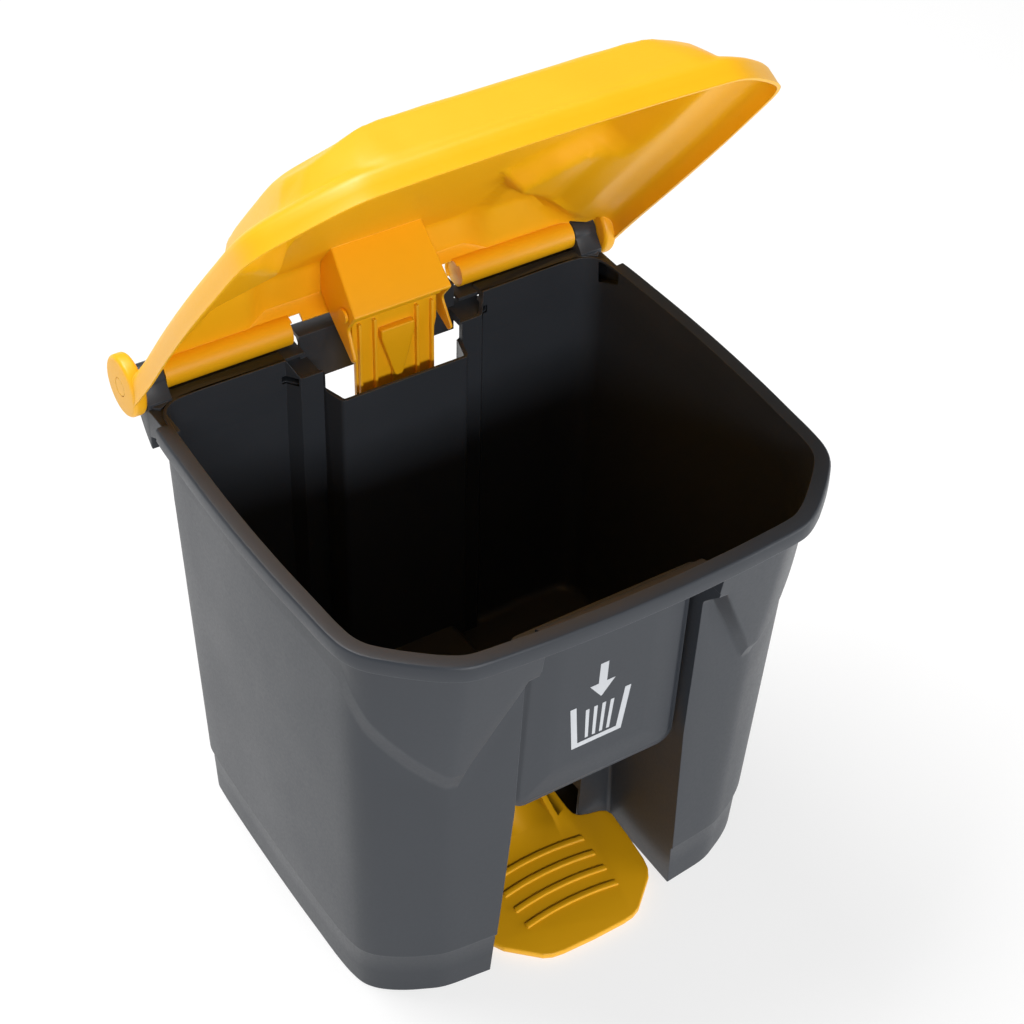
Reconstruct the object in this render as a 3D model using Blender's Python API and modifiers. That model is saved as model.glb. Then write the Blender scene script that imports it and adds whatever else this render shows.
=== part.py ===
"""Pedal trash can: a one-piece plastic body with a hinged lid, worked by a pedal lever through a push rod.

Frame: +Z up, the floor at z = 0, +X to the right, -Y to the front where the pedal is. The lid is held open
and the pedal is pressed, which is the rest position. All sizes are in millimetres until they reach a mesh.
"""

import math

import bmesh
import bpy
from mathutils import Matrix, Vector

MM = 0.001

# Driving dimensions.
RIM_HEIGHT = 390.0
WALL = 2.5
FLOOR_UNDER = 47.5
FLOOR_TOP = 50.5
PLINTH_HEIGHT = 44.0
LEG_FRONT = -139.4  # the legs' front face at the floor
LEG_LEAN = 0.06  # how far the legs' front face comes forward for each unit of height
HINGE_Y, HINGE_Z = 171.0, 400.0
DECK_BACK = 162.5
LID_OPEN = math.radians(51.4)
LID_PIN_FORWARD, LID_PIN_DROP = 38.0, 12.0  # the push rod's upper pin, from the hinge axis of the closed lid
PIVOT_Y, PIVOT_Z = -15.0, 30.0  # the pedal's axle
LEVER_ARM = 150.0  # from the axle to the push rod's lower pin
PEDAL_TILT = math.asin(17.1 / LEVER_ARM)  # the pedal swings this far each way from level
SLOT_FROM, SLOT_TO, SLOT_RISE, SLOT_RADIUS = -3.6, 2.4, 0.4, 4.0  # oblong hole for the lower pin, from the arm's end
GAP = 0.3

# Half plan of the outer wall, from the middle of the back round the right side to the middle of the front.
# Each row: x and y under the rim, x and y at the floor, then the height at which the front shoulder starts
# (0 where the wall has none).
PLAN = (
    (0, 152.4, 0, 149.0, 0), (92, 152.4, 84, 149.0, 0), (168, 152.4, 154, 149.0, 0),
    (179, 149.0, 165, 145.5, 0), (186.5, 141, 171, 137, 0), (189.3, 127, 172.6, 124, 0),
    (191.3, 90, 174, 88, 0), (192.8, 45, 174.9, 45, 0), (193, 0, 175.2, 0, 0),
    (191.8, -45, 174.8, -40, 0), (189.6, -85, 174.3, -70, 0), (187.9, -112, 172.6, -89, 340),
    (185.6, -126, 169.8, -100, 318), (180.8, -136.5, 164.7, -108, 300), (171, -147.5, 156.5, -115.5, 283),
    (156.5, -160.8, 145, -123, 264), (143, -171.5, 133, -129, 249), (131.5, -178, 123.5, -133.2, 238.5),
    (122, -180, 115, -135.3, 238), (101.5, -182, 95, -137.6, 281), (81, -183.7, 79, -139.2, 322),
    (69.5, -184.4, 69.5, -139.6, 324), (67, -184.5, 67, -139.7, 364), (33, -186, 33, -140.8, 364),
    (0, -186.3, 0, -141, 364),
)
SHOULDER_START = 11  # index in PLAN where the front shoulder begins
SHOULDER_RISE = 17.0
SHOULDER_TOP = 372.0
PLINTH_STEP = 2.0

YELLOW = (0.93, 0.55, 0.012)
GREY = (0.066, 0.072, 0.082)
STEEL = (0.55, 0.56, 0.58)
ZINC = (0.48, 0.48, 0.47)


# ---------------------------------------------------------------------------------------------- scene helpers

def clear_scene():
    for obj in list(bpy.data.objects):
        bpy.data.objects.remove(obj)


def new_collection(name):
    collection = bpy.data.collections.new(name)
    bpy.context.scene.collection.children.link(collection)
    return collection


def new_material(name, colour, roughness, metallic=0.0):
    material = bpy.data.materials.new(name)
    material.use_nodes = True
    shader = material.node_tree.nodes["Principled BSDF"]
    shader.inputs["Base Color"].default_value = (*colour, 1.0)
    shader.inputs["Roughness"].default_value = roughness
    shader.inputs["Metallic"].default_value = metallic
    return material


clear_scene()
PARTS = new_collection("pedal_trash_can")
CUTTERS = new_collection("cutters")


def object_from_bmesh(name, bm, collection=CUTTERS):
    bmesh.ops.recalc_face_normals(bm, faces=bm.faces)
    mesh = bpy.data.meshes.new(name)
    bm.to_mesh(mesh)
    bm.free()
    obj = bpy.data.objects.new(name, mesh)
    collection.objects.link(obj)
    if collection is CUTTERS:
        obj.hide_render = True
        obj.display_type = "WIRE"
    return obj


def boolean(target, other, operation):
    modifier = target.modifiers.new(other.name, "BOOLEAN")
    modifier.operation = operation
    modifier.solver = "EXACT"
    modifier.object = other


def cut(target, *others):
    for other in others:
        boolean(target, other, "DIFFERENCE")


def join(target, *others):
    for other in others:
        boolean(target, other, "UNION")


def bevel(obj, width, segments=2, angle=35.0):
    modifier = obj.modifiers.new("edge_round", "BEVEL")
    modifier.width = width * MM
    modifier.segments = segments
    modifier.limit_method = "ANGLE"
    modifier.angle_limit = math.radians(angle)
    modifier.harden_normals = False


def finish(obj, material, origin=None, pose=None):
    """Bakes the modifiers, gives the material, and turns the piece about its own axis when pose is an angle."""
    graph = bpy.context.evaluated_depsgraph_get()
    mesh = bpy.data.meshes.new_from_object(obj.evaluated_get(graph))
    obj.modifiers.clear()
    obj.data = mesh
    mesh.name = obj.name
    if origin is not None:
        mesh.transform(Matrix.Translation([-c * MM for c in origin]))
        obj.location = [c * MM for c in origin]
    if pose is not None:
        obj.rotation_euler.x = pose
    mesh.materials.clear()
    mesh.materials.append(material)
    mesh.shade_smooth()
    mesh.set_sharp_from_angle(angle=math.radians(32))
    CUTTERS.objects.unlink(obj)
    PARTS.objects.link(obj)
    obj.hide_render = False
    obj.display_type = "TEXTURED"
    return obj


# ---------------------------------------------------------------------------------------------- shape helpers

def loft(name, rings, crown_from=None):
    """A closed solid through rings of equal point counts, with flat ends.

    With crown_from, the top isn't flat: it is closed with strips that run straight across from each point of the
    right half to its mirror. The first strip starts at the ring's straight back edge, which ends at crown_from.
    """
    bm = bmesh.new()
    rows = [[bm.verts.new([c * MM for c in point]) for point in ring] for ring in rings]
    count = len(rows[0])
    for lower, upper in zip(rows, rows[1:]):
        for i in range(count):
            j = (i + 1) % count
            bm.faces.new((lower[i], lower[j], upper[j], upper[i]))
    bm.faces.new(rows[0])
    top = rows[-1]
    if crown_from is None:
        bm.faces.new(top)
        return object_from_bmesh(name, bm)
    bm.faces.new(top[-crown_from - 1:] + top[:crown_from + 2])
    for i in range(crown_from + 1, count // 2):
        corners = dict.fromkeys((i, i + 1, count - i - 1, count - i))
        bm.faces.new([top[corner] for corner in corners])
    return object_from_bmesh(name, bm)


def box(name, low, high):
    bm = bmesh.new()
    bmesh.ops.create_cube(bm, size=1.0)
    size = [(b - a) * MM for a, b in zip(low, high)]
    centre = [(a + b) / 2 * MM for a, b in zip(low, high)]
    bmesh.ops.scale(bm, vec=size, verts=bm.verts)
    bmesh.ops.translate(bm, vec=centre, verts=bm.verts)
    return object_from_bmesh(name, bm)


def rod_along(name, axis, radius, start, end, across, sides=24):
    """A cylinder along X or Z from start to end; across holds its other two coordinates."""
    bm = bmesh.new()
    bmesh.ops.create_cone(bm, cap_ends=True, segments=sides, radius1=radius * MM, radius2=radius * MM,
                          depth=(end - start) * MM)
    middle = (start + end) / 2
    if axis == "X":
        bmesh.ops.rotate(bm, matrix=Matrix.Rotation(math.pi / 2, 3, "Y"), verts=bm.verts)
        place = (middle, across[0], across[1])
    else:
        place = (across[0], across[1], middle)
    bmesh.ops.translate(bm, vec=[c * MM for c in place], verts=bm.verts)
    return object_from_bmesh(name, bm)


def plate(name, outline, low, high, plane):
    """A flat outline given thickness. plane "YZ" runs it along X, "XZ" along Y and "XY" along Z."""
    curve = bpy.data.curves.new(name, "CURVE")
    curve.dimensions = "2D"
    curve.fill_mode = "BOTH"
    curve.extrude = (high - low) / 2 * MM
    spline = curve.splines.new("POLY")
    spline.points.add(len(outline) - 1)
    spline.use_cyclic_u = True
    for point, (a, b) in zip(spline.points, outline):
        point.co = (a * MM, b * MM, 0.0, 1.0)
    flat = bpy.data.objects.new(name + "_outline", curve)
    CUTTERS.objects.link(flat)
    graph = bpy.context.evaluated_depsgraph_get()
    mesh = bpy.data.meshes.new_from_object(flat.evaluated_get(graph))
    bpy.data.objects.remove(flat)
    bm = bmesh.new()
    bm.from_mesh(mesh)
    bmesh.ops.remove_doubles(bm, verts=bm.verts, dist=1e-6)
    turns = {
        "YZ": Matrix(((0, 0, 1), (1, 0, 0), (0, 1, 0))),
        "XZ": Matrix(((1, 0, 0), (0, 0, 1), (0, 1, 0))),
        "XY": Matrix.Identity(3),
    }
    bmesh.ops.transform(bm, matrix=turns[plane].to_4x4(), verts=bm.verts)
    along = {"YZ": 0, "XZ": 1, "XY": 2}[plane]
    shift = Vector((0, 0, 0))
    shift[along] = (low + high) / 2 * MM
    bmesh.ops.translate(bm, vec=shift, verts=bm.verts)
    return object_from_bmesh(name, bm)


def arc(centre, radius, start, end, steps):
    """Points on a circle from one angle to another, in degrees."""
    return [
        (centre[0] + radius * math.cos(math.radians(start + (end - start) * i / steps)),
         centre[1] + radius * math.sin(math.radians(start + (end - start) * i / steps)))
        for i in range(steps + 1)
    ]


def both_sides(half):
    """A closed ring from a right half that runs from the middle of the back to the middle of the front."""
    return list(half) + [(-x, *rest) for x, *rest in reversed(half[1:-1])]


def moved_out(ring, distance):
    """The plan ring moved along its outward normals. Rings run clockwise as seen from above."""
    count = len(ring)
    moved = []
    for i, (x, y) in enumerate(ring):
        ax, ay = ring[i - 1]
        bx, by = ring[(i + 1) % count]
        length = math.hypot(bx - ax, by - ay)
        moved.append((x - (by - ay) / length * distance, y + (bx - ax) / length * distance))
    return moved


# ---------------------------------------------------------------------------------------------- bin body

def leg_front(z):
    return LEG_FRONT - LEG_LEAN * z


def plan_at(z, shouldered):
    """Half plan of the outer wall at height z, with the front shoulder or with the plain legs below it."""
    share = z / RIM_HEIGHT
    half = []
    for i, (top_x, top_y, base_x, base_y, _) in enumerate(PLAN):
        if not shouldered and i > SHOULDER_START:
            pull = (leg_front(RIM_HEIGHT) - PLAN[SHOULDER_START][1]) / (PLAN[-1][1] - PLAN[SHOULDER_START][1])
            top_y = PLAN[SHOULDER_START][1] + (top_y - PLAN[SHOULDER_START][1]) * pull
        half.append((base_x + (top_x - base_x) * share, base_y + (top_y - base_y) * share))
    if shouldered:
        for i in range(SHOULDER_START + 1, len(PLAN)):
            x, y = half[i]
            half[i] = (x, PLAN[i][1] + (RIM_HEIGHT - z) * 0.181 * (PLAN[i][1] + 112) / (-186.3 + 112))
    return half


def wall_ring(height_of, shouldered, out):
    """A ring of the wall whose height may differ from point to point: height_of takes the point's index."""
    half = []
    for i in range(len(PLAN)):
        z = height_of(i)
        x, y = plan_at(z, shouldered)[i]
        half.append((x, y, z))
    ring = both_sides(half)
    flat = moved_out([(x, y) for x, y, _ in ring], out)
    return [(x, y, z) for (x, y), (_, _, z) in zip(flat, ring)]


def shoulder_low(i):
    return PLAN[i][4] or 330.0


def shoulder_high(i):
    return min(shoulder_low(i) + SHOULDER_RISE, SHOULDER_TOP)


def outer_solid():
    return loft("bin_body", [
        wall_ring(lambda i: 0.0, False, 0.0),
        wall_ring(lambda i: PLINTH_HEIGHT, False, 0.0),
        wall_ring(lambda i: PLINTH_HEIGHT + 1.5, False, PLINTH_STEP),
        wall_ring(shoulder_low, False, 1.0),
        wall_ring(shoulder_high, True, 0.0),
        wall_ring(lambda i: RIM_HEIGHT, True, 0.0),
    ])


def inner_solid():
    inset = -WALL
    return loft("cavity", [
        wall_ring(lambda i: FLOOR_TOP, False, inset + PLINTH_STEP),
        wall_ring(lambda i: shoulder_low(i) + 4, False, inset + 1.0),
        wall_ring(lambda i: shoulder_high(i) + 4, True, inset),
        wall_ring(lambda i: RIM_HEIGHT + 1, True, inset),
    ])


def bay_rings(grow, top):
    """The pedal bay: narrower and shallower towards its top."""
    levels = ((-1.0, 82.3, -56.0), (120.0, 76.2, -61.0), (185.0, 73.0, -85.0), (top, 72.8, -85.0 - (top - 185) * 0.36))
    rings = []
    for z, half, back in levels:
        half += grow
        back += grow
        rings.append([(-half, -230.0, z), (half, -230.0, z), (half, back, z), (-half, back, z)])
    return rings


def front_recess(name, half_width, depth, lift):
    """The space in front of the apron's face, a little behind the legs' front face; its top slopes out to the rim."""
    corner, top = 342.0 + lift, 376.0 + lift
    rings = []
    for z, back in ((-1.0, leg_front(-1.0) + depth), (corner, leg_front(corner) + depth), (top, -192.0)):
        rings.append([(-half_width, -230.0, z), (half_width, -230.0, z), (half_width, back, z),
                      (-half_width, back, z)])
    return loft(name, rings)


def tunnel(name, grow):
    """The hump over the pedal lever, from the bay to the push rod's channel."""
    height = 84.5 + grow
    rings = []
    for y, half in ((-75.0, 52.0 + grow), (155.0, 41.0 + grow)):
        rings.append([(-half, y, -1.0), (half, y, -1.0), (half, y, height - 5), (half - 5, y, height),
                      (-half + 5, y, height), (-half, y, height - 5)])
    return loft(name, rings)


def channel(name, grow, bottom, top, back):
    """The push rod's channel up the back wall."""
    outline = [(-51.3 - grow, 122.8 - grow), (51.3 + grow, 122.8 - grow), (56.6 + grow, 141.0 - grow),
               (56.6 + grow, back), (-56.6 - grow, back), (-56.6 - grow, 141.0 - grow)]
    return plate(name, outline, bottom, top, "XY")


def back_jog(name, grow, bottom, top):
    """The shallow recess in the back wall on both sides of the channel."""
    outline = [(-75.0 - grow, 142.6 - grow), (75.0 + grow, 142.6 - grow), (86.0 + grow, 155.0),
               (86.0 + grow, 175.0), (-86.0 - grow, 175.0), (-86.0 - grow, 155.0)]
    return plate(name, outline, bottom, top, "XY")


def apron():
    """The front panel between the legs, which hangs in front of the pedal bay."""
    half, corner, low, high = 69.2, 13.0, 174.0, 346.5
    top_half = 66.9
    outline = ([(-top_half, high), (-half, low + corner + 20)]
               + arc((-half + corner, low + corner), corner, 180, 270, 6)
               + arc((half - corner, low + corner), corner, 270, 360, 6)
               + [(half, low + corner + 20), (top_half, high)])
    sheet = plate("apron", outline, 0.0, 3.0, "XZ")
    shear = Matrix.Identity(4)
    shear[1][2] = -LEG_LEAN
    sheet.data.transform(shear)
    sheet.data.transform(Matrix.Translation((0, (LEG_FRONT + 6.0) * MM, 0)))
    bevel(sheet, 1.2, 2, 50)
    return sheet


def rim_flange():
    """The flange round the mouth with its turned-down lip; it stops short of the hinge on both sides."""
    section = ((-1.5, 386.5), (-1.5, RIM_HEIGHT), (7.8, RIM_HEIGHT), (9.5, 388.3), (9.5, 377.0), (7.2, 377.0),
               (7.2, 386.5))
    whole = both_sides([(x, y) for x, y, *_ in PLAN])
    start = 5
    rings = []
    for out, z in section:
        rings.append([(x, y, z) for x, y in moved_out(whole, out)][start:len(whole) + 1 - start])
    bm = bmesh.new()
    rows = [[bm.verts.new([c * MM for c in point]) for point in ring] for ring in rings]
    rows.append(rows[0])
    for first, second in zip(rows, rows[1:]):
        for i in range(len(first) - 1):
            bm.faces.new((first[i], first[i + 1], second[i + 1], second[i]))
    bm.faces.new([row[0] for row in rows[:-1]])
    bm.faces.new([row[-1] for row in rows[:-1]])
    return object_from_bmesh("rim_flange", bm)


def back_deck():
    """Flat rim along the back wall, with a lower shelf that runs on under the lid's barrel."""
    deck = plate("back_deck", both_sides([(0.0, DECK_BACK), (184.0, DECK_BACK), (190.0, 150.0), (186.0, 146.0),
                                          (176.0, 151.0), (0.0, 151.0)]), RIM_HEIGHT - 3.2, RIM_HEIGHT, "XY")
    shelf = [(155.0, 384.8), (172.0, 384.8), (172.0, 387.6), (155.0, 387.6)]
    join(deck, plate("deck_shelf", shelf, -178.0, 178.0, "YZ"))
    return deck


def rim_dip(side):
    """The back wall's top sinks beside the push rod's slot."""
    outline = [(side * 50.0, 377.0), (side * 77.0, 377.0), (side * 84.0, RIM_HEIGHT + 0.4),
               (side * 84.0, 402.0), (side * 50.0, 402.0)]
    return plate("rim_dip", outline, 130.0, 180.0, "XZ")


def hinge_band():
    """Cross wall behind the push rod that ties the two middle lugs; the channel is open to the back below it."""
    outline = [(162.2, 354.0), (165.2, 354.0), (165.2, 388.0), (168.0, 391.0), (177.0, 391.0), (177.0, 394.0),
               (162.2, 394.0)]
    return plate("hinge_band", outline, -66.0, 66.0, "YZ")


def outer_lug(side):
    """Hinge lug at the back corner, with the fin that carries it back to the end of the rim flange."""
    outline = ([(150.8, 352.0), (160.0, 362.0)] + arc((HINGE_Y, HINGE_Z), 12.0, -35, 175, 12) + [(150.8, 391.5)])
    low, high = sorted((side * 174.0, side * 193.2))
    block = plate("outer_lug", outline, low, high, "YZ")
    fin_low, fin_high = sorted((side * 183.5, side * 193.1))
    fin = plate("lug_fin", [(119.0, 378.0), (138.0, 370.0), (154.0, 362.0), (156.0, 372.0), (152.0, 388.0),
                            (119.0, 388.0)], fin_low, fin_high, "YZ")
    join(block, fin)
    return block


def middle_lug(side):
    """Block beside the channel, with the peg that carries the inner end of the lid's barrel."""
    outline = [(141.2, 352.0), (165.6, 352.0), (172.0, 372.0), (177.5, 392.0), (177.5, 404.5), (163.0, 404.5),
               (161.2, 402.0), (161.2, 391.0), (155.0, 376.6), (141.2, 376.6)]
    low, high = sorted((side * 60.5, side * 75.0))
    block = plate("middle_lug", outline, low, high, "YZ")
    low, high = sorted((side * 70.0, side * 86.0))
    join(block, rod_along("barrel_peg", "X", 4.0, low, high, (HINGE_Y, HINGE_Z), 20))
    return block


def boss_places():
    return [(side * 64.0, y) for side in (-1, 1) for y in (-31.0, 1.0)]


def build_body(material):
    body = outer_solid()
    cavity = inner_solid()
    cut(cavity,
        loft("bay_wall", bay_rings(WALL, 347.5)),
        front_recess("apron_wall", 75.5, 9.2, 3.7),
        tunnel("tunnel_wall", WALL),
        channel("channel_wall", WALL, 40.0, 400.0, 175.0),
        back_jog("back_jog_wall", WALL, 40.0, 400.0))
    underside = loft("underside", [
        wall_ring(lambda i: -1.0, False, -WALL),
        wall_ring(lambda i: FLOOR_UNDER, False, -WALL + 1.0),
    ])
    cut(underside, loft("bay_skirt", bay_rings(WALL, 347.5)))
    join(body, rim_flange(), back_deck())
    cut(body, cavity, underside,
        loft("bay", bay_rings(0.0, 345.0)),
        front_recess("recess", 72.0, 6.7, 0.0))
    join(body, apron())
    cut(body,
        tunnel("tunnel", 0.0),
        channel("channel", 0.0, -1.0, 400.0, 170.0),
        back_jog("back_jog", 0.0, -1.0, 383.0),
        box("rod_slot", (-58.8, 100.0, 360.3), (58.8, 175.0, 400.0)))
    for side in (-1, 1):
        cut(body, rim_dip(side))
        join(body, outer_lug(side), middle_lug(side))
    join(body, hinge_band())
    for x, y in boss_places():
        join(body, rod_along("boss", "Z", 5.5, 42.0, 48.5, (x, y), 16))
        cut(body, rod_along("boss_hole", "Z", 1.9, 41.0, 48.9, (x, y), 12))
    for side in (-1, 1):
        low, high = sorted((side * 173.0, side * 194.5))
        cut(body, rod_along("pin_bore", "X", 4.5, low, high, (HINGE_Y, HINGE_Z), 20))
    return finish(body, material)


# ---------------------------------------------------------------------------------------------- lid

LID_OUT = 13.2  # how far the lid's edge stands outside the wall's plan, so that it hangs round the rim
# Rings of the closed lid: inset at the sides, inset at the front, inset at the back, height over the axis.
LID_RINGS = (
    (0.0, 0.0, 0.0, -19.0), (0.8, 0.8, 0.0, -7.4), (3.2, 3.0, 0.2, -3.2), (11.0, 8.0, 0.4, 1.8),
    (38.0, 17.0, 0.6, 7.5), (60.0, 27.0, 0.8, 20.5), (69.0, 33.0, 1.0, 25.0), (84.0, 40.0, 1.6, 33.5),
    (95.0, 47.0, 4.0, 36.0),
)
LID_BACK = 165.5
LID_WALL = 2.4
BOX_FRONT, BOX_HALF = 57.0, 40.0


def lid_edge():
    """Half plan of the lid's lower edge, from the middle of the back round to the middle of the front."""
    whole = moved_out(both_sides([(x, y) for x, y, *_ in PLAN]), LID_OUT)
    sides = whole[6:len(PLAN)]
    return [(0.0, LID_BACK), (120.0, LID_BACK), (204.3, LID_BACK), (204.3, 128.0)] + sides


def lid_ring(side_inset, front_inset, back_inset, height, shrink):
    """One ring of the lid; shrink gives the inner skin."""
    half = []
    edge = lid_edge()
    width = edge[2][0]
    depth = edge[0][1] - edge[-1][1]
    for x, y in edge:
        along = (edge[0][1] - y) / depth
        x *= (width - side_inset - shrink) / width
        y += (front_inset + shrink) * along - (back_inset + shrink) * (1 - along)
        forward = HINGE_Y - y
        lowered = 1.0 if height < 12 else 0.8 + 0.2 * min(1.0, forward / 50.0)
        half.append((x, y, HINGE_Z + height * lowered))
    return both_sides(half)


def lid_skin(name, shrink, drop):
    rings = [lid_ring(*ring[:3], ring[3] - (drop if n else 1.0 if shrink else 0.0), shrink)
             for n, ring in enumerate(LID_RINGS)]
    return loft(name, rings, crown_from=2)


def drafted(name, outline, narrow, wide, low, high):
    """A "YZ" outline run along X, whose half width grows from narrow at height high to wide at height low."""
    block = plate(name, outline, -1.0, 1.0, "YZ")
    for vertex in block.data.vertices:
        share = (high * MM - vertex.co.z) / ((high - low) * MM)
        vertex.co.x *= narrow + (wide - narrow) * share
    return block


def rod_box():
    """The box under the lid that takes the head of the push rod, with its two cheeks, and the box's hollow."""
    def at(forward, height):
        return (HINGE_Y - forward, HINGE_Z + height)

    outline = [at(BOX_FRONT, 34.7), at(BOX_FRONT - 5.6, -20.2), at(31.0, -21.0), at(22.0, -44.0),
               at(16.0, -43.0), at(10.0, -4.0), at(8.0, 2.0), at(8.0, 27.2), at(12.0, 29.3), at(30.0, 32.0),
               at(50.0, 34.7)]
    shell = drafted("rod_box", outline, BOX_HALF - 2.4, BOX_HALF + 0.8, 380.0, 435.0)
    inner = [at(BOX_FRONT - LID_WALL, 31.6), at(BOX_FRONT - LID_WALL - 5.2, -20.2),
             at(BOX_FRONT - LID_WALL - 5.2, -60.0), at(-20.0, -60.0), at(-20.0, 1.0), at(10.4, 1.0), at(10.4, 24.6)]
    return shell, drafted("rod_box_hollow", inner, BOX_HALF - 4.8, BOX_HALF - 1.6, 380.0, 435.0)


def build_lid(material):
    lid = lid_skin("lid", 0.0, 0.0)
    cut(lid, lid_skin("lid_inside", LID_WALL, LID_WALL))
    # Under the hinge axis the back is open, so that the lugs and the push rod pass.
    cut(lid, box("lid_back_opening", (-199.0, 150.0, 376.0), (199.0, 185.0, HINGE_Z + 0.6)))
    shell, hollow = rod_box()
    join(lid, shell)
    axis = (HINGE_Y, HINGE_Z)
    sides = ("left", -1), ("right", 1)
    for word, side in sides:
        low, high = sorted((side * 74.0, side * 182.0))
        join(lid, rod_along("barrel_" + word, "X", 11.5, low, high, axis, 28))
        low, high = sorted((side * 173.5, side * 196.0))
        lug_room = rod_along("lug_room_" + word, "X", 13.5, low, high, axis, 28)
        low, high = sorted((side * 59.5, side * 77.5))
        cut(lid, lug_room, rod_along("stub_room_" + word, "X", 12.5, low, high, axis, 28))
    for word, side in sides:
        low, high = sorted((side * 193.5, side * 204.5))
        cap = rod_along("hinge_cap_" + word, "X", 23.5, low, high, axis, 50)
        bevel(cap, 2.5, 2, 50)
        join(lid, cap)
        low, high = sorted((side * 76.0, side * 88.0))
        cut(lid, rod_along("peg_bore_" + word, "X", 4.4, low, high, axis, 20))
        low, high = sorted((side * 140.0, side * 210.0))
        bore = rod_along("hinge_bore_" + word, "X", 4.3, low, high, axis, 20)
        low, high = sorted((side * 203.0, side * 210.0))
        cut(lid, bore, rod_along("cap_dimple_" + word, "X", 7.3, low, high, axis, 24))
    cut(lid, hollow, rod_along("top_pin_bore", "X", 3.3, -60.0, 60.0,
                               (HINGE_Y - LID_PIN_FORWARD, HINGE_Z - LID_PIN_DROP), 20))
    return finish(lid, material, (0.0, HINGE_Y, HINGE_Z), -LID_OPEN)


def build_hinge_pin(name, side, material):
    """Pin pushed in through the cap, the body's lug and the end of the barrel."""
    axis = (HINGE_Y, HINGE_Z)
    low, high = sorted((side * 141.0, side * 204.0))
    pin = rod_along(name, "X", 4.0, low, high, axis, 20)
    low, high = sorted((side * 203.3, side * 204.5))
    head = rod_along("hinge_pin_head", "X", 6.8, low, high, axis, 24)
    join(pin, head)
    return finish(pin, material, (0.0, HINGE_Y, HINGE_Z), -LID_OPEN)


# ---------------------------------------------------------------------------------------------- push rod

def top_pin_place():
    """The push rod's upper pin with the lid open, as y and z."""
    c, s = math.cos(LID_OPEN), math.sin(LID_OPEN)
    return (HINGE_Y - LID_PIN_FORWARD * c - LID_PIN_DROP * s, HINGE_Z + LID_PIN_FORWARD * s - LID_PIN_DROP * c)


def low_pin_place():
    """The push rod's lower pin with the pedal pressed, as y and z."""
    return (PIVOT_Y + LEVER_ARM * math.cos(PEDAL_TILT), PIVOT_Z + LEVER_ARM * math.sin(PEDAL_TILT))


def build_push_rod(material):
    """A ribbed plate, built upright under its upper pin and then leaned onto the lower one."""
    top_y, top_z = top_pin_place()
    low_y, low_z = low_pin_place()
    length = math.hypot(top_y - low_y, top_z - low_z)
    foot = top_z - length
    outline = [(-28.5, foot - 9), (28.5, foot - 9), (28.5, foot + 18), (33.3, foot + 26), (33.3, 383.0),
               (35.6, 393.0), (35.6, top_z), (-35.6, top_z), (-35.6, 393.0), (-33.3, 383.0),
               (-33.3, foot + 26), (-28.5, foot + 18)]
    rod = plate("push_rod", outline, top_y - 0.5, top_y + 3.5, "XZ")
    hub_top = rod_along("rod_head", "X", 7.0, -35.6, 35.6, (top_y, top_z), 24)
    hub_low = rod_along("rod_foot", "X", 8.0, -28.5, 28.5, (top_y, foot), 24)
    join(rod, hub_top, hub_low)
    for x in (-31.7, -19.0, 16.6, 29.3):
        join(rod, box("rod_rib", (x, top_y - 4.0, foot + 20), (x + 2.4, top_y + 0.5, 412.0)))
    spine = [(-4.0, 380.0), (-3.0, foot + 20), (3.0, foot + 20), (4.0, 380.0)]
    join(rod, plate("rod_spine", spine, top_y - 2.4, top_y + 0.5, "XZ"))
    boss = [(-14.0, 402.0), (-14.0, 394.0), (-3.0, 357.0), (3.0, 357.0), (14.0, 394.0), (14.0, 402.0)]
    join(rod, plate("rod_boss", boss, top_y - 6.2, top_y + 0.6, "XZ"))
    cut(rod, rod_along("rod_top_bore", "X", 3.3, -60.0, 60.0, (top_y, top_z), 20),
        rod_along("rod_low_bore", "X", 3.3, -60.0, 60.0, (top_y, foot), 20))
    lean = math.asin((top_y - low_y) / length)
    return finish(rod, material, (0.0, top_y, top_z), -lean)


def build_cross_pin(name, place, reach, material):
    pin = rod_along(name, "X", 3.0, -reach, reach + 2.2, place, 20)
    join(pin, rod_along(name + "_head", "X", 5.5, -reach - 2.2, -reach, place, 20))
    return finish(pin, material, (0.0, *place))


def build_retainer(name, place, low, high, bore, radius, material):
    """A push-on ring that holds a pin or the axle endways."""
    ring = rod_along(name, "X", radius, low, high, place, 20)
    cut(ring, rod_along(name + "_bore", "X", bore, low - 1, high + 1, place, 20))
    return finish(ring, material, (0.0, *place))


# ---------------------------------------------------------------------------------------------- pedal

TREAD_TOP = -5.0  # under the axle, with the pedal level
TREAD_THICK = 6.0


def tread_half():
    """Right half of the pedal's plan from the back of its arm to the middle of its front edge."""
    return [(0.0, 112.0), (31.0, 112.0), (36.0, 107.0), (36.0, 22.0), (47.0, -6.0), (47.0, -33.0), (48.0, -40.0),
            (51.5, -43.8), (58.0, -46.0), (68.0, -48.0), (73.0, -50.5), (75.5, -55.5), (75.0, -80.0),
            (73.5, -104.0), (71.5, -113.0), (67.0, -120.5), (44.0, -140.5), (37.0, -143.5), (28.0, -144.8),
            (0.0, -145.5)]


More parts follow.
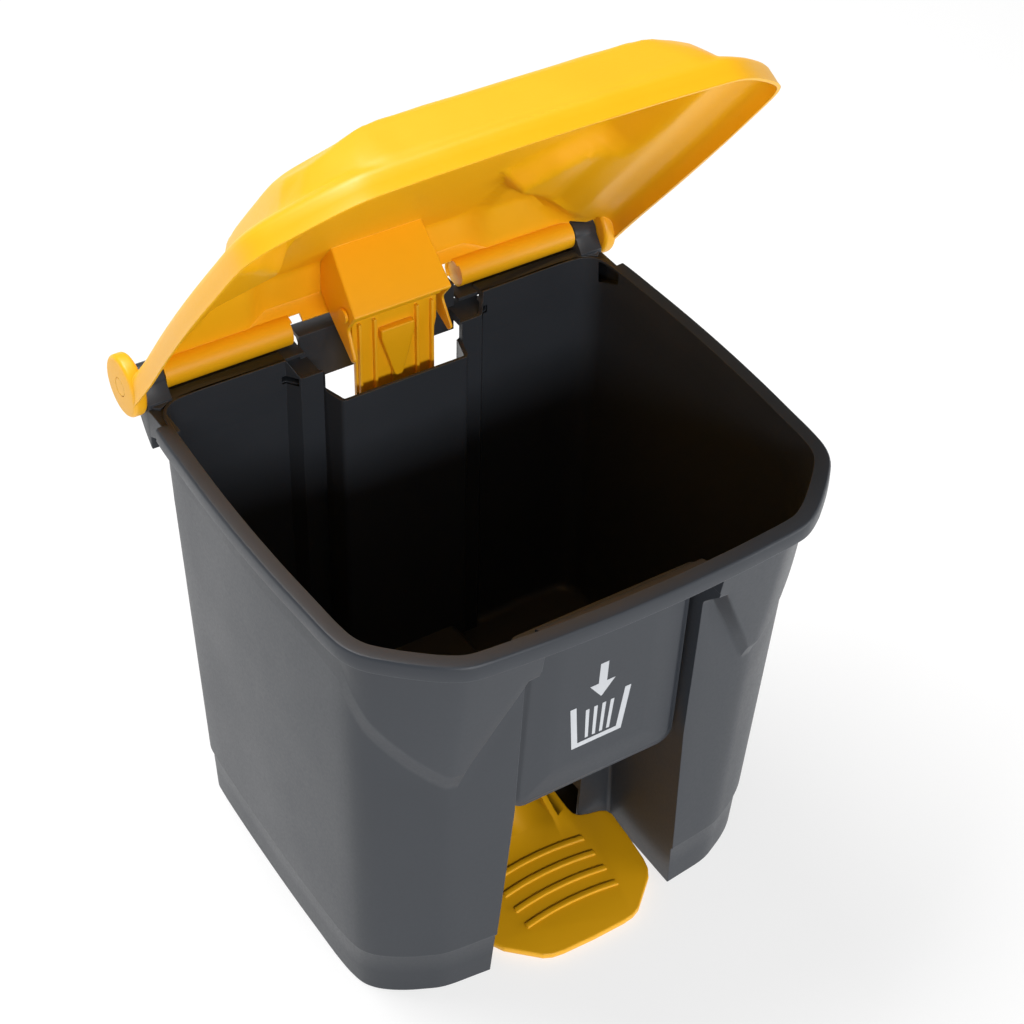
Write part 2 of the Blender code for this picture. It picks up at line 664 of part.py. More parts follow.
def build_pedal(material):
    half = [(x, y + PIVOT_Y) for x, y in tread_half()]
    top = PIVOT_Z + TREAD_TOP
    pedal = plate("pedal", both_sides(half), top - TREAD_THICK, top, "XY")
    bevel(pedal, 1.4, 2, 50)
    for side in (-1, 1):
        low, high = sorted((side * 31.0, side * 36.0))
        rail = [(PIVOT_Y - 44.0, top - 2.0), (PIVOT_Y - 44.0, top - TREAD_THICK - 1.5)]
        rail += [(PIVOT_Y + 60.0, top - TREAD_THICK - 1.5)]
        rail += arc((PIVOT_Y + LEVER_ARM, PIVOT_Z), 9.5, 270, 450, 10)
        rail += [(PIVOT_Y + 30.0, PIVOT_Z + 8.0)] + arc((PIVOT_Y, PIVOT_Z), 9.0, 60, 150, 6)
        join(pedal, plate("lever_rail", rail, low, high, "YZ"))
    join(pedal, box("lever_web", (-32.0, PIVOT_Y + 106.0, PIVOT_Z - 10.0), (32.0, PIVOT_Y + 110.0, PIVOT_Z + 5.0)))
    for y in (-66.0, -82.0, -98.0, -114.0):
        bow = [(x, y + 5.0 * (1 - (x / 50.0) ** 2)) for x in range(-42, 43, 12)]
        ridge = [(x, y1 + PIVOT_Y + 2.0) for x, y1 in bow] + [(x, y1 + PIVOT_Y - 2.0) for x, y1 in reversed(bow)]
        tread = plate("tread_ridge", ridge, top - 1.0, top + 1.4, "XY")
        join(pedal, tread)
    slot = (arc((PIVOT_Y + LEVER_ARM + SLOT_TO, PIVOT_Z + SLOT_RISE), SLOT_RADIUS, -90, 90, 10)
            + arc((PIVOT_Y + LEVER_ARM + SLOT_FROM, PIVOT_Z + SLOT_RISE), SLOT_RADIUS, 90, 270, 10))
    cut(pedal, plate("pin_slot", slot, -60.0, 60.0, "YZ"),
        rod_along("axle_bore", "X", 4.4, -60.0, 60.0, (PIVOT_Y, PIVOT_Z), 20))
    return finish(pedal, material, (0.0, PIVOT_Y, PIVOT_Z), PEDAL_TILT)


def build_axle(material):
    axle = rod_along("pedal_axle", "X", 4.0, -80.0, 80.0, (PIVOT_Y, PIVOT_Z), 24)
    bevel(axle, 0.6, 1, 50)
    return finish(axle, material, (0.0, PIVOT_Y, PIVOT_Z))


def build_bracket(name, side, material):
    """Saddle that carries one end of the axle under the floor."""
    low, high = sorted((side * 55.0, side * 73.0))
    outline = [(PIVOT_Y - 24, 41.7), (PIVOT_Y - 24, 35.0), (PIVOT_Y - 9.5, 34.8)]
    outline += arc((PIVOT_Y, PIVOT_Z), 9.0, 180, 360, 8)
    outline += [(PIVOT_Y + 9.5, 34.8), (PIVOT_Y + 24, 35.0), (PIVOT_Y + 24, 41.7)]
    bracket = plate(name, outline, low, high, "YZ")
    cut(bracket, rod_along("bracket_bore", "X", 4.3, low - 1, high + 1, (PIVOT_Y, PIVOT_Z), 20))
    for x, y in boss_places():
        if x * side > 0:
            cut(bracket, rod_along("screw_way", "Z", 2.4, 30.0, 45.0, (x, y), 12))
    return finish(bracket, material, (0.0, PIVOT_Y, PIVOT_Z))


def build_screw(name, place, material):
    """Pan-head screw, driven up through the bracket into the floor's boss."""
    screw = rod_along(name, "Z", 1.6, 33.0, 48.4, place, 12)
    head = rod_along(name + "_head", "Z", 4.2, 31.6, 34.5, place, 16)
    bevel(head, 0.8, 1, 50)
    join(screw, head)
    cut(screw, box("cross_a", (place[0] - 2.4, place[1] - 0.5, 31.0), (place[0] + 2.4, place[1] + 0.5, 33.2)),
        box("cross_b", (place[0] - 0.5, place[1] - 2.4, 31.0), (place[0] + 0.5, place[1] + 2.4, 33.2)))
    return finish(screw, material)


# ---------------------------------------------------------------------------------------------- assembly

def main():
    grey = new_material("grey_plastic", GREY, 0.42)
    yellow = new_material("yellow_plastic", YELLOW, 0.38)
    steel = new_material("steel", STEEL, 0.3, 1.0)
    zinc = new_material("zinc_screw", ZINC, 0.4, 1.0)
    build_body(grey)
    build_lid(yellow)
    build_hinge_pin("hinge_pin_left", -1, yellow)
    build_hinge_pin("hinge_pin_right", 1, yellow)
    build_push_rod(yellow)
    top, low = top_pin_place(), low_pin_place()
    build_cross_pin("rod_top_pin", top, BOX_HALF + 1.0, yellow)
    build_retainer("rod_top_clip", top, BOX_HALF + 1.0, BOX_HALF + 2.8, 3.3, 5.5, yellow)
    build_cross_pin("rod_low_pin", low, 36.0 + GAP, steel)
    build_retainer("rod_low_clip", low, 36.0 + GAP, 36.0 + GAP + 1.8, 3.3, 5.5, zinc)
    build_pedal(yellow)
    build_axle(steel)
    axle = (PIVOT_Y, PIVOT_Z)
    for side, word in ((-1, "left"), (1, "right")):
        build_bracket("axle_bracket_" + word, side, grey)
        low_x, high_x = sorted((side * 73.4, side * 75.2))
        build_retainer("axle_clip_" + word, axle, low_x, high_x, 4.3, 7.5, zinc)
    for number, place in enumerate(boss_places(), 1):
        build_screw("bracket_screw_%d" % number, place, zinc)


main()
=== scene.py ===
"""Looks of the pedal trash can: fine moulded surfaces, materials, camera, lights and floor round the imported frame.

Lengths are in millimetres until they reach a mesh. The lid is open and the pedal is pressed at rest.
"""

import math

import bmesh
import bpy
import numpy as np
from mathutils import Matrix, Vector


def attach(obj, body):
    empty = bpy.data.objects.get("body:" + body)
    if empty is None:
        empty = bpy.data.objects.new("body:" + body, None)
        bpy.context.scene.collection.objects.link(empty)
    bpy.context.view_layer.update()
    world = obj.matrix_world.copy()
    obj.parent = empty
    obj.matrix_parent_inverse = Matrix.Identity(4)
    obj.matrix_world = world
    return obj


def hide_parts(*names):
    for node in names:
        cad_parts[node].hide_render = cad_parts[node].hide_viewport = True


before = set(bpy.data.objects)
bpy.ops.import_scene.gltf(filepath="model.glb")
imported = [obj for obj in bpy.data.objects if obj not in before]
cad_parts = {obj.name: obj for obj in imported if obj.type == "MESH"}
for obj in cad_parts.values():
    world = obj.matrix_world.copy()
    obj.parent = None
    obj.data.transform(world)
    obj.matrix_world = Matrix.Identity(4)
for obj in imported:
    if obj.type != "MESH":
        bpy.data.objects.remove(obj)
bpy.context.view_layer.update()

MM = 0.001
RIM = 390.0
WALL = 2.5
FLOOR_UNDER, FLOOR_TOP = 47.5, 50.5
LEG_FRONT, LEG_LEAN = -139.4, 0.06
AXIS_Y, AXIS_Z = 171.0, 400.0
DECK_BACK = 162.5
LID_OPEN = math.radians(51.4)
LUG_RADIUS, BARREL_RADIUS, CAP_RADIUS = 12.0, 11.5, 23.5
LUG_ROOM, PEG_ROOM = 13.5, 10.3
PEG_RADIUS, PEG_BORE = 4.0, 4.4
HINGE_BORE, LUG_BORE = 4.3, 4.5
CROSS_PIN_BORE, AXLE_BORE = 3.3, 4.4
PIN_FORWARD, PIN_DROP = 38.0, 12.0
PIVOT_Y, PIVOT_Z = -15.0, 30.0
ARM = 150.0
PEDAL_TILT = math.asin(17.1 / ARM)

# Half plan of the outer wall from the middle of the back to the middle of the front: x and y under the rim,
# x and y at the floor, height at which the front shoulder starts (0 for none).
PLAN = (
    (0, 152.4, 0, 149.0, 0), (92, 152.4, 84, 149.0, 0), (168, 152.4, 154, 149.0, 0),
    (179, 149.0, 165, 145.5, 0), (186.5, 141, 171, 137, 0), (189.3, 127, 172.6, 124, 0),
    (191.3, 90, 174, 88, 0), (192.8, 45, 174.9, 45, 0), (193, 0, 175.2, 0, 0),
    (191.8, -45, 174.8, -40, 0), (189.6, -85, 174.3, -70, 0), (187.9, -112, 172.6, -89, 340),
    (185.6, -126, 169.8, -100, 318), (180.8, -136.5, 164.7, -108, 300), (171, -147.5, 156.5, -115.5, 283),
    (156.5, -160.8, 145, -123, 264), (143, -171.5, 133, -129, 249), (131.5, -178, 123.5, -133.2, 238.5),
    (122, -180, 115, -135.3, 238), (101.5, -182, 95, -137.6, 281), (81, -183.7, 79, -139.2, 322),
    (69.5, -184.4, 69.5, -139.6, 324), (67, -184.5, 67, -139.7, 364), (33, -186, 33, -140.8, 364),
    (0, -186.3, 0, -141, 364),
)
SHOULDER_START = 11        # row of PLAN
SHOULDER_RISE = 17.0
SHOULDER_TOP = 372.0
SHOULDER_LEAN = 0.181
NO_SHOULDER = 345.0        # height of the wall's rings where there is no shoulder
FINE_STEPS = 4             # points of the fine plan for each row of PLAN
STEP_DEPTH = 2.0           # the wall stands in this far above the plinth


# ------------------------------------------------------------------------------------------------ mesh helpers

def place(name, bm):
    """Turns the edited mesh into an object in the scene."""
    bmesh.ops.recalc_face_normals(bm, faces=bm.faces)
    mesh = bpy.data.meshes.new(name)
    bm.to_mesh(mesh)
    bm.free()
    obj = bpy.data.objects.new(name, mesh)
    bpy.context.scene.collection.objects.link(obj)
    return obj


def baked(obj):
    """Replaces the mesh with what its modifiers make of it."""
    bpy.context.view_layer.update()
    graph = bpy.context.evaluated_depsgraph_get()
    mesh = bpy.data.meshes.new_from_object(obj.evaluated_get(graph))
    obj.modifiers.clear()
    obj.data = mesh
    return obj


def combine(target, operation, *others):
    """Cuts the others from the target, or joins them to it, and removes them."""
    for other in others:
        modifier = target.modifiers.new("combine", "BOOLEAN")
        modifier.operation = operation
        modifier.solver = "EXACT"
        modifier.object = other
        baked(target)
        bpy.data.objects.remove(other)
    return target


def cut(target, *others):
    return combine(target, "DIFFERENCE", *others)


def join(target, *others):
    return combine(target, "UNION", *others)


def rounded(obj, width, segments=3, angle=40.0):
    modifier = obj.modifiers.new("edge_round", "BEVEL")
    modifier.width = width * MM
    modifier.segments = segments
    modifier.limit_method = "ANGLE"
    modifier.angle_limit = math.radians(angle)
    return baked(obj)


def smooth(obj, angle=30.0):
    obj.data.shade_smooth()
    obj.data.set_sharp_from_angle(angle=math.radians(angle))
    return obj


def loft(name, rings, crown_from=None):
    """A closed solid through rings of equal point counts.

    With crown_from the last ring is closed by strips across x = 0 from that point on, so that it follows a crown.
    """
    bm = bmesh.new()
    rows = [[bm.verts.new([c * MM for c in point]) for point in ring] for ring in rings]
    count = len(rows[0])
    for lower, upper in zip(rows, rows[1:]):
        for i in range(count):
            j = (i + 1) % count
            bm.faces.new((lower[i], lower[j], upper[j], upper[i]))
    bm.faces.new(rows[0])
    top = rows[-1]
    if crown_from is None:
        bm.faces.new(top)
        return place(name, bm)
    bm.faces.new(top[-crown_from - 1:] + top[:crown_from + 2])
    for i in range(crown_from + 1, count // 2):
        corners = dict.fromkeys((i, i + 1, count - i - 1, count - i))
        bm.faces.new([top[corner] for corner in corners])
    return place(name, bm)


def close_sheets(bm, front, back):
    """Faces over two grids of vertices and round their edges."""
    rows, columns = len(front) - 1, len(front[0]) - 1
    for sheet, turn in ((front, 1), (back, -1)):
        for j in range(rows):
            for i in range(columns):
                corners = (sheet[j][i], sheet[j][i + 1], sheet[j + 1][i + 1], sheet[j + 1][i])
                bm.faces.new(corners[::turn])
    for j in range(rows):
        for i in (0, columns):
            bm.faces.new((front[j][i], front[j + 1][i], back[j + 1][i], back[j][i]))
    for i in range(columns):
        for j in (0, rows):
            bm.faces.new((front[j][i], front[j][i + 1], back[j][i + 1], back[j][i]))


def box(name, low, high):
    bm = bmesh.new()
    bmesh.ops.create_cube(bm, size=1.0)
    bmesh.ops.scale(bm, vec=[(b - a) * MM for a, b in zip(low, high)], verts=bm.verts)
    bmesh.ops.translate(bm, vec=[(a + b) / 2 * MM for a, b in zip(low, high)], verts=bm.verts)
    return place(name, bm)


def cylinder(name, radius, start, end, across, sides=48):
    """A round bar along X from start to end, with its centre line at across (y, z)."""
    bm = bmesh.new()
    bmesh.ops.create_cone(bm, cap_ends=True, segments=sides, radius1=radius * MM, radius2=radius * MM,
                          depth=(end - start) * MM)
    bmesh.ops.rotate(bm, matrix=Matrix.Rotation(math.pi / 2, 3, "Y"), verts=bm.verts)
    centre = ((start + end) / 2, *across)
    bmesh.ops.translate(bm, vec=[c * MM for c in centre], verts=bm.verts)
    return place(name, bm)


def plate(name, outline, low, high, plane):
    """A flat outline given thickness: "YZ" runs along X, "XZ" along Y, "XY" along Z."""
    bm = bmesh.new()
    ends = []
    for level in (low, high):
        ends.append([bm.verts.new({
            "YZ": (level * MM, a * MM, b * MM),
            "XZ": (a * MM, level * MM, b * MM),
            "XY": (a * MM, b * MM, level * MM),
        }[plane]) for a, b in outline])
    count = len(outline)
    for i in range(count):
        j = (i + 1) % count
        bm.faces.new((ends[0][i], ends[0][j], ends[1][j], ends[1][i]))
    bm.faces.new(ends[0])
    bm.faces.new(ends[1])
    return place(name, bm)


def arc(centre, radius, start, end, steps):
    return [
        (centre[0] + radius * math.cos(math.radians(start + (end - start) * i / steps)),
         centre[1] + radius * math.sin(math.radians(start + (end - start) * i / steps)))
        for i in range(steps + 1)
    ]


def fillet(points, radius, steps=5):
    """A closed outline with each corner rounded; radius is one number or one for each point."""
    out = []
    count = len(points)
    for i in range(count):
        r = radius[i] if isinstance(radius, (list, tuple)) else radius
        p = Vector(points[i])
        a, b = Vector(points[i - 1]) - p, Vector(points[(i + 1) % count]) - p
        if r <= 0 or a.length < 1e-6 or b.length < 1e-6:
            out.append(tuple(p))
            continue
        angle = a.angle(b)
        reach = min(r / math.tan(angle / 2), a.length * 0.49, b.length * 0.49)
        start, end = p + a.normalized() * reach, p + b.normalized() * reach
        for k in range(steps + 1):
            t = k / steps
            out.append(tuple((1 - t) ** 2 * start + 2 * t * (1 - t) * p + t ** 2 * end))
    return out


def both_sides(half):
    """The whole ring from its right half, whose first and last points lie on x = 0."""
    return list(half) + [(-p[0], *p[1:]) for p in reversed(half[1:-1])]


def moved_out(ring, distance):
    """The closed ring of (x, y) offset along its normals."""
    count = len(ring)
    moved = []
    for i, (x, y) in enumerate(ring):
        ax, ay = ring[i - 1]
        bx, by = ring[(i + 1) % count]
        length = math.hypot(bx - ax, by - ay)
        moved.append((x - (by - ay) / length * distance, y + (bx - ax) / length * distance))
    return moved


def span(side, near, far):
    """The lower and upper x of a feature that runs from near to far on one side."""
    return sorted((side * near, side * far))


def ease(t):
    """Smooth step from 0 to 1."""
    t = min(1.0, max(0.0, t))
    return t * t * (3 - 2 * t)


def between(x, table):
    """Straight-line interpolation in a table of (x, value)."""
    xs = [row[0] for row in table]
    return float(np.interp(x, xs, [row[1] for row in table]))


# ------------------------------------------------------------------------------------------------ body surfaces

def refined(rows, times):
    """The rows of PLAN with in-between rows on a smooth curve through them. Straight stretches stay straight."""
    data = [list(map(float, row)) for row in rows]
    for row in data:
        row[4] = row[4] or NO_SHOULDER
    out = []
    count = len(data)
    for i in range(count - 1):
        before, a, b, after = (np.array(data[max(i - 1, 0)]), np.array(data[i]), np.array(data[i + 1]),
                               np.array(data[min(i + 2, count - 1)]))
        if i == 0:
            before = a * [-1, 1, -1, 1, 1] if a[0] else b * [-1, 1, -1, 1, 1]
        if i == count - 2:
            after = a * [-1, 1, -1, 1, 1]
        da, db, dc = (max(np.linalg.norm((q - p)[:2]), 1e-3) ** 0.5 for p, q in
                      ((before, a), (a, b), (b, after)))
        ma = (a - before) / da - (b - before) / (da + db) + (b - a) / db
        mb = (b - a) / db - (after - a) / (db + dc) + (after - b) / dc
        ma, mb = ma * db, mb * db
        for k in range(times):
            t = k / times
            point = ((2 * t ** 3 - 3 * t ** 2 + 1) * a + (t ** 3 - 2 * t ** 2 + t) * ma
                     + (-2 * t ** 3 + 3 * t ** 2) * b + (t ** 3 - t ** 2) * mb)
            point[4] = a[4] + (b[4] - a[4]) * t
            out.append(tuple(point))
    out.append(tuple(data[-1]))
    return out


FINE = refined(PLAN, FINE_STEPS)
FINE_START = SHOULDER_START * FINE_STEPS
START_Y = PLAN[SHOULDER_START][1]
PULL = (LEG_FRONT - LEG_LEAN * RIM - START_Y) / (PLAN[-1][1] - START_Y)


def wall_point(i, z, weight):
    """Point i of the fine plan at height z; weight 0 is the plain leg and 1 the shoulder."""
    top_x, top_y, base_x, base_y, _ = FINE[i]
    share = z / RIM
    x = base_x + (top_x - base_x) * share
    if i <= FINE_START:
        return x, base_y + (top_y - base_y) * share
    plain_top = START_Y + (top_y - START_Y) * PULL
    plain = base_y + (plain_top - base_y) * share
    bold = top_y + (RIM - z) * SHOULDER_LEAN * (top_y - START_Y) / (PLAN[-1][1] - START_Y)
    return x, plain + (bold - plain) * weight


def wall_ring(height_of, weight, out):
    """The wall's ring at height_of(i) for each point i of the fine plan, moved out."""
    half = []
    for i in range(len(FINE)):
        z = height_of(i)
        half.append((*wall_point(i, z, weight), z))
    ring = both_sides(half)
    flat = moved_out([(x, y) for x, y, _ in ring], out)
    return [(x, y, z) for (x, y), (_, _, z) in zip(flat, ring)]


def low_edge(i):
    """Height at which the shoulder starts at point i."""
    return FINE[i][4]


def high_edge(i):
    """Height at which the shoulder is full at point i."""
    return min(FINE[i][4] + SHOULDER_RISE, SHOULDER_TOP)


def wall_solid(name, base, inset, plinth):
    """Rings from base height up: plinth, step, plain wall, shoulder, wall under the rim."""
    rings = []
    if plinth:
        rings += [wall_ring(lambda i: base, 0.0, inset - 0.8), wall_ring(lambda i: base + 0.8, 0.0, inset)]
        for z, out in ((22.0, 0.0), (43.4, 0.0), (44.2, 0.35), (44.9, 1.3), (45.7, 1.9), (46.8, 2.0)):
            rings.append(wall_ring(lambda i, z=z: z, 0.0, inset + out))
    else:
        rings += [wall_ring(lambda i: base, 0.0, inset - 4.0), wall_ring(lambda i: base + 1.2, 0.0, inset - 0.8),
                  wall_ring(lambda i: base + 4.0, 0.0, inset + 1.6)]
    start = 48.0 if plinth else base + 6.0
    shift = 0.0 if plinth else 3.0
    for k in range(9):
        share = k / 9
        rings.append(wall_ring(lambda i, s=share: start + (low_edge(i) + shift - 4 - start) * s, 0.0,
                               inset + STEP_DEPTH - share))
    for t, weight in ((-0.16, 0.0), (-0.07, 0.012), (0.0, 0.035), (0.08, 0.09), (0.2, 0.2), (0.5, 0.5),
                      (0.8, 0.8), (0.92, 0.91), (1.0, 0.965), (1.07, 0.988), (1.16, 1.0)):
        rings.append(wall_ring(
            lambda i, t=t: low_edge(i) + shift + (high_edge(i) - low_edge(i)) * t,
            weight, inset + 0.7 * (1 - max(0, t))))
    top = RIM if plinth else RIM + 1.0
    for share in (0.2, 0.45, 0.7, 1.0):
        rings.append(wall_ring(
            lambda i, s=share: high_edge(i) + shift + 3 + (top - high_edge(i) - shift - 3) * s, 1.0, inset))
    return loft(name, rings)


def leg_front(z):
    """Y of the legs' front at height z."""
    return LEG_FRONT - LEG_LEAN * z


def bay(name, grow, top, bottom=-1.0):
    """The space for the pedal and the shoe, larger all round by grow."""
    levels = ((bottom, 82.3, -56.0), (120.0, 76.2, -61.0), (185.0, 73.0, -85.0),
              (top, 72.8, -85.0 - (top - 185) * 0.36))
    rings = []
    for z, half, back in levels:
        half += grow
        back += grow
        rings.append([(x, y, z) for x, y in fillet(
            [(-half, -230.0), (half, -230.0), (half, back), (-half, back)], [0, 0, 3.0 + grow, 3.0 + grow])])
    return loft(name, rings)


def front_recess(name, half_width, depth, lift):
    """The space in front of the panel's face; its top slopes out to the rim."""
    corner, top = 342.0 + lift, 376.0 + lift
    rings = []
    for z, back in ((-1.0, leg_front(-1.0) + depth), (corner - 5, leg_front(corner - 5) + depth),
                    (corner - 1.5, leg_front(corner) + depth - 1.2), (corner + 3, leg_front(corner) + depth - 4.5),
                    (top, -192.0)):
        rings.append([(-half_width, -230.0, z), (half_width, -230.0, z), (half_width, back, z),
                      (-half_width, back, z)])
    return loft(name, rings)


def tunnel(name, grow):
    """The space under the floor for the pedal's lever."""
    height = 84.5 + grow
    rings = []
    for y, half in ((-75.0, 52.0 + grow), (155.0, 41.0 + grow)):
        outline = fillet([(-half, -1.0), (half, -1.0), (half, height), (-half, height)],
                         [0, 0, 6.0 + grow, 6.0 + grow])
        rings.append([(x, y, z) for x, z in outline])
    return loft(name, rings)


def channel(name, grow, bottom, top, back):
    """The space in the back wall for the push rod."""
    outline = fillet([(-51.3 - grow, 122.8 - grow), (51.3 + grow, 122.8 - grow), (56.6 + grow, 141.0 - grow),
                      (56.6 + grow, back), (-56.6 - grow, back), (-56.6 - grow, 141.0 - grow)],
                     [2 + grow, 2 + grow, 0, 0, 0, 0])
    return plate(name, outline, bottom, top, "XY")


def back_jog(name, grow, bottom, top):
    """The shallow step of the back wall on either side of the channel."""
    outline = [(-75.0 - grow, 142.6 - grow), (75.0 + grow, 142.6 - grow), (86.0 + grow, 155.0),
               (86.0 + grow, 175.0), (-86.0 - grow, 175.0), (-86.0 - grow, 155.0)]
    return plate(name, outline, bottom, top, "XY")


PANEL_HALF, PANEL_TOP_HALF, PANEL_LOW, PANEL_HIGH, PANEL_CORNER = 69.2, 66.9, 174.0, 346.5, 13.0
PANEL_CROWN = 1.9
PANEL_FLANGE, FLANGE_WIDTH = 1.5, 1.8
PANEL_SET_BACK = 7.2


def panel_depth(x, z):
    """How far the panel's face stands forward of its edge plane."""
    half = PANEL_HALF + (PANEL_TOP_HALF - PANEL_HALF) * (z - PANEL_LOW) / (PANEL_HIGH - PANEL_LOW)
    dx, dz = half - abs(x), z - PANEL_LOW
    inside = min(dx, dz)
    if dx < PANEL_CORNER and dz < PANEL_CORNER:
        inside = PANEL_CORNER - math.hypot(PANEL_CORNER - dx, PANEL_CORNER - dz)
    flange = -PANEL_FLANGE * (1 - ease((inside - FLANGE_WIDTH) / 3.2))
    return flange + PANEL_CROWN * ease((inside - 2.0) / 30.0)


def panel_y(x, z):
    """Y of the panel's face."""
    return leg_front(z) + PANEL_SET_BACK - panel_depth(x, z)


def panel():
    """The front panel: a fine sheet with a crowned face, trimmed to its outline."""
    bm = bmesh.new()
    columns, rows = 112, 156
    front, back = [], []
    for j in range(rows + 1):
        z = PANEL_LOW - 2 + (PANEL_HIGH - PANEL_LOW + 2) * j / rows
        front.append([])
        back.append([])
        for i in range(columns + 1):
            x = -71.0 + 142.0 * i / columns
            front[-1].append(bm.verts.new((x * MM, panel_y(x, z) * MM, z * MM)))
            back[-1].append(bm.verts.new((x * MM, (leg_front(z) + 9.0) * MM, z * MM)))
    close_sheets(bm, front, back)
    sheet = place("panel", bm)
    half, corner, low, high = PANEL_HALF, PANEL_CORNER, PANEL_LOW, PANEL_HIGH
    outline = ([(-PANEL_TOP_HALF, high + 5), (-half, low + corner + 20)]
               + arc((-half + corner, low + corner), corner, 180, 270, 14)
               + arc((half - corner, low + corner), corner, 270, 360, 14)
               + [(half, low + corner + 20), (PANEL_TOP_HALF, high + 5)])
    return combine(sheet, "INTERSECT", plate("panel_trim", outline, -230.0, -90.0, "XZ"))


FLANGE_START = 5           # row of PLAN at which the flange starts, in front of the outer lug


def rim_flange():
    """Rolled rim: flange, turned-down lip and a faint bead where the lip meets the wall."""
    section = [(-2.45, 386.0), (-2.45, 388.8), (-2.0, 389.6), (-1.2, RIM), (6.6, RIM), (8.0, 389.6), (8.9, 388.6),
               (9.3, 387.2), (9.5, 378.2), (9.2, 377.3), (8.4, 377.0), (7.6, 377.2), (7.2, 378.0), (6.6, 385.0),
               (5.4, 386.4)]
    whole = both_sides([(row[0], row[1]) for row in FINE])
    start = FLANGE_START * FINE_STEPS
    rings = []
    for out, z in section:
        rings.append([(x, y, z) for x, y in moved_out(whole, out)][start:len(whole) + 1 - start])
    bm = bmesh.new()
    rows = [[bm.verts.new([c * MM for c in point]) for point in ring] for ring in rings]
    rows.append(rows[0])
    for first, second in zip(rows, rows[1:]):
        for i in range(len(first) - 1):
            bm.faces.new((first[i], first[i + 1], second[i + 1], second[i]))
    bm.faces.new([row[0] for row in rows[:-1]])
    bm.faces.new([row[-1] for row in rows[:-1]])
    return place("rim_flange", bm)


def back_deck():
    """Flat rim along the back wall."""
    outline = both_sides([(0.0, DECK_BACK), (184.0, DECK_BACK), (190.0, 150.0), (186.0, 146.0), (176.0, 151.0),
                          (0.0, 151.0)])
    return rounded(plate("back_deck", outline, RIM - 3.2, RIM, "XY"), 0.6, 2, 50)


def barrel_shelves(side):
    """The lower shelf that runs on under the lid's barrel, and the ledge at the foot of the dip."""
    shelf = fillet([(155.0, 384.8), (172.0, 384.8), (172.0, 387.6), (155.0, 387.6)], [0, 1.2, 1.2, 0])
    low, high = span(side, 66.0, 178.0)
    ledge_low, ledge_high = span(side, 60.6, 88.0)
    return (plate("deck_shelf", shelf, low, high, "YZ"),
            box("dip_ledge", (ledge_low, 141.4, 370.0), (ledge_high, 170.0, 376.8)))


def rim_dip(side):
    """The back wall's top sinks beside the push rod's slot."""
    outline = [(side * 50.0, 377.0), (side * 77.0, 377.0), (side * 84.0, RIM + 0.4), (side * 84.0, 402.0),
               (side * 50.0, 402.0)]
    return plate("rim_dip", fillet(outline, [0, 4.0, 2.0, 0, 0]), 130.0, 180.0, "XZ")


def hinge_band():
    """Cross wall behind the push rod that ties the two middle lugs; the channel is open to the back below it."""
    outline = fillet([(162.2, 354.0), (165.2, 354.0), (165.2, 390.0), (168.0, 393.5), (179.0, 393.5), (179.0, 397.0),
                      (162.2, 397.0)], [1.0, 1.0, 2.0, 1.0, 1.0, 1.2, 1.2], 3)
    return plate("hinge_band", outline, -66.0, 66.0, "YZ")


def outer_lug(side):
    """Lug that carries the hinge pin, and the fin in front of it."""
    outline = [(150.8, 352.0), (160.0, 362.0)] + arc((AXIS_Y, AXIS_Z), LUG_RADIUS, -35, 175, 28) + [(150.8, 391.5)]
    low, high = span(side, 174.0, 193.2)
    block = rounded(plate("outer_lug", outline, low, high, "YZ"), 0.9, 2, 50)
    fin_low, fin_high = span(side, 183.5, 193.1)
    fin = fillet([(119.0, 378.0), (138.0, 370.0), (154.0, 362.0), (156.0, 372.0), (152.0, 388.0), (119.0, 388.0)],
                 [0, 8.0, 3.0, 3.0, 3.0, 0])
    return block, rounded(plate("lug_fin", fin, fin_low, fin_high, "YZ"), 0.8, 2, 50)


def middle_lug(side):
    """Block beside the channel, with the peg that carries the inner end of the lid's barrel."""
    outline = fillet([(141.2, 352.0), (165.6, 352.0), (172.0, 372.0), (179.3, 392.0), (179.3, 405.3), (163.0, 405.3),
                      (161.2, 402.0), (161.2, 391.0), (155.0, 376.6), (141.2, 376.6)],
                     [0, 2.0, 6.0, 6.0, 0.6, 1.0, 1.5, 3.0, 4.0, 0])
    low, high = span(side, 60.5, 71.2)
    block = rounded(plate("middle_lug", outline, low, high, "YZ"), 0.8, 2, 50)
    low, high = span(side, 70.0, 86.0)
    return join(block, cylinder("barrel_peg", PEG_RADIUS, low, high, (AXIS_Y, AXIS_Z), 32))


